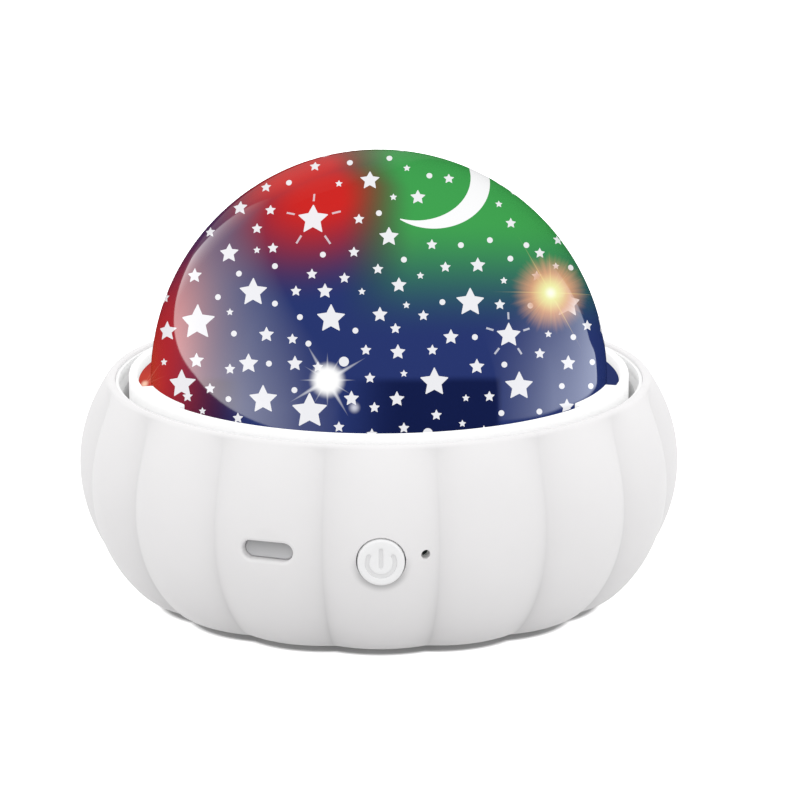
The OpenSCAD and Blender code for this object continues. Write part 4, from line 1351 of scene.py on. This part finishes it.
def studio():
    scene = bpy.context.scene
    scene.view_settings.view_transform = "Standard"
    scene.world = bpy.data.worlds.new("studio")
    scene.world.use_nodes = True
    t = Tree(scene.world.node_tree)
    strength = t.span(t.shown(), 0.0, 1.0, AMBIENT, 1.0)
    t.show(t.node("ShaderNodeBackground", {"Color": (1, 1, 1, 1), "Strength": strength}), "World")

    corners = [(x * FLOOR_REACH, y * FLOOR_REACH, 0) for x, y in ((-1, -1), (1, -1), (1, 1), (-1, 1))]
    floor, t = staged("floor", corners, [(0, 1, 2, 3)])
    diffuse = t.node("ShaderNodeBsdfDiffuse", {"Color": grey(FLOOR_TONE)})
    inlet = t.times(t.math("POWER", lobe_place(t), 2.0), 4 * SHADOW_INLET * MM)
    away = t.plus(t.vector("LENGTH", t.place), inlet)
    lift = t.soft(away, SHADOW_FROM * MM, SHADOW_TO * MM, FLOOR_NEAR, FLOOR_LIFT)
    glow = t.emission(t.times(t.shown(), lift))
    t.show(t.node("ShaderNodeAddShader", {0: diffuse.outputs[0], 1: glow.outputs[0]}))
    hide(floor, "glossy")               # glossy surfaces see the floor of the tent
    for name, place, size, power in LAMPS:
        hide(area_light(name, place, LAMPS_AIM - Vector(place), size, power), "glossy")


def only_for(emitter, receivers, but=False):
    """Lets an emitter light only some objects, or all but some."""
    linked = bpy.data.collections.new(emitter.name + "_linked")
    for obj in receivers:
        linked.objects.link(obj)
    emitter.light_linking.receiver_collection = linked
    if but:
        for entry in linked.collection_objects:
            entry.light_linking.link_state = "EXCLUDE"


def white_tent(dome):
    """White all round for glossy surfaces, except the dome, which mirrors the screens in the dark."""
    build = Build()
    build.loft([even_ring(TENT_R, TENT_LOW, 64), even_ring(TENT_R, TENT_H, 64),
                even_ring(TENT_R / 2, TENT_H + TENT_RISE, 64)], first=True, last=True)
    tent, t = staged("tent", build.points, build.faces)
    t.show(t.emission(1.0))
    t.material.cycles.emission_sampling = "NONE"
    hide(tent, "camera", "diffuse", "transmission", "volume_scatter", "shadow")
    only_for(tent, [dome], but=True)


# Screens that the dome mirrors. They stand upright, square to a direction, some way from the axis. A place
# on one is given by how far back it lies, and by its height. Each fade below runs between two such places,
# in millimetres, and from one share of the light to another, or else from none to all.
LEFT_SCREEN = {"direction": -95, "away": 200, "back": (-900, 302), "height": (-130, 280), "level": 5.5}
RIGHT_SCREEN = {"direction": 85, "away": 200, "back": (-118, 232), "height": (-20, 190), "level": 3.7,
                "colour": (0.93, 1.0, 1.14, 1)}
BACK_SCREEN = {"direction": 179, "away": 700, "back": (-90, 640), "height": (55, 960), "level": 0.45}


def left_glow(t, back, height):
    """Share of its level that the left screen gives at a place on it."""
    foot = t.plus(t.span(back, -650, 0, -140, 42), t.span(back, 0, 300, 0, 41))
    return t.times(t.span(back, -850, -330), t.span(back, -330, -100, 0.25, 1.0),
                   t.soft(back, -20, 170, 1.0, 0.36), t.span(back, 285, 300, 1.0, 0.0),
                   t.span(height, 30, 270, 1.0, 0.0), t.span(t.minus(height, foot), -1.0, 1.5))


def right_glow(t, back, height):
    """The same for the right screen."""
    foot = t.span(back, 30, 214, 6, -17)
    end = t.soft(height, 42, 8, 192, 230)
    return t.times(t.span(back, -117, -113), t.span(back, -117, 5, 0.1, 1.0),
                   t.span(back, 10, 192, 1.0, 0.52), t.span(t.minus(back, end), 0, -3),
                   t.span(t.minus(height, foot), -2, 2), t.soft(height, 10, 180, 1.0, 0.0))


def back_glow(t, left, height):
    """The same for the dim screen behind, whose places are given by how far left they lie."""
    inside = t.minus(left, t.times(t.math("POWER", t.span(height, 283, 945), 2.9), 262))
    return t.times(t.span(inside, -75, -62), t.span(inside, -70, 20, 0.3, 1.0), t.span(left, 640, 300),
                   t.span(height, 60, 90), t.span(height, 150, 300, 0.3, 0.4),
                   t.span(height, 380, 820, 1.0, 0.5))


def screen(name, dome, glow, direction, away, back, height, level, colour=(1, 1, 1, 1)):
    out, top = Vector(at(1, direction, 0)), Vector((0, 0, 1))
    along = top.cross(out)
    along *= math.copysign(1, along.y)
    size = [(reach[1] - reach[0]) * MM for reach in (back, height)]
    middle = (out * away + along * sum(back) / 2 + top * sum(height) / 2) * MM
    made = area_light(name, middle, -out, size, math.pi * size[0] * size[1] * level)
    made.data.use_nodes = True
    t = Tree(made.data.node_tree)
    place = t.node("ShaderNodeNewGeometry").outputs["Position"]
    places = [t.vector("DOT_PRODUCT", place, axis / MM) for axis in (along, top)]
    t.show(t.emission(glow(t, *places), colour), "Light")
    hide(made, "camera", "diffuse", "transmission", "volume_scatter")
    only_for(made, [dome])


# ---------------------------------------------------------------- the object

make_camera()
studio()
shell = lobed_shell(plastic("shell_plastic", (0.835, 0.824, 0.829, 1), 0.38, shade=groove_shade))
# The power mark's sunk walls and floor are a little darker than the cap: painted shade in the mark.
power_cap(plastic("button_plastic", (0.88, 0.88, 0.885, 1), 0.33, 0.6),
          plastic("mark_painted_shade", (0.80, 0.80, 0.805, 1), 0.45, 0.6))
dust_plug(plastic("plug_silicone", (0.58, 0.58, 0.59, 1), 0.6, 1.5, 0.01, plug_shade))
# Its glow is painted light that brightens the turntable, and collar_shade paints shade on the inner wall of
# its collar.
collar = turntable_collar(
    plastic("turntable_plastic", grey(0.96), 0.3, 0.5, 0.01, collar_shade, glow=0.13))
dome = star_dome([
    printed("dome_print"),
    printed("ray_white", (0.84, 0.85, 0.92, 1), 0.6),
    printed("star_white", (0.89, 0.89, 0.92, 1), 0.95, gloss=0.2, own_light=0.7),
    printed("moon_white", (0.97, 0.97, 0.98, 1), 0.99, own_light=0.7),
    printed("brim_print", gloss=0.1, rough=0.5),
    plastic("dome_lining", (0.22, 0.26, 0.42, 1), 0.3, 0.5)])
white_tent(dome)
screen("left_screen", dome, left_glow, **LEFT_SCREEN)
screen("right_screen", dome, right_glow, **RIGHT_SCREEN)
screen("back_screen", dome, back_glow, **BACK_SCREEN)
dome.visible_diffuse = False            # its colours don't tinge the white collar
for piece in (shell, collar, dome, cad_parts["inner_deck"]):
    piece.visible_glossy = False        # gloss shows the studio, not the next piece
led_piece("led_red", (1.0, 0.25, 0.2, 1), 0.5, "led_red_body")
led_piece("led_green", (0.35, 1.0, 0.45, 1), 0.5, "led_green_body")
led_piece("led_blue", (0.3, 0.45, 1.0, 1), 0.5, "led_blue_body")
led_piece("led_warm_white", (1.0, 0.86, 0.45, 1), 0.6, "led_warm_body")
dress_cad_nodes()
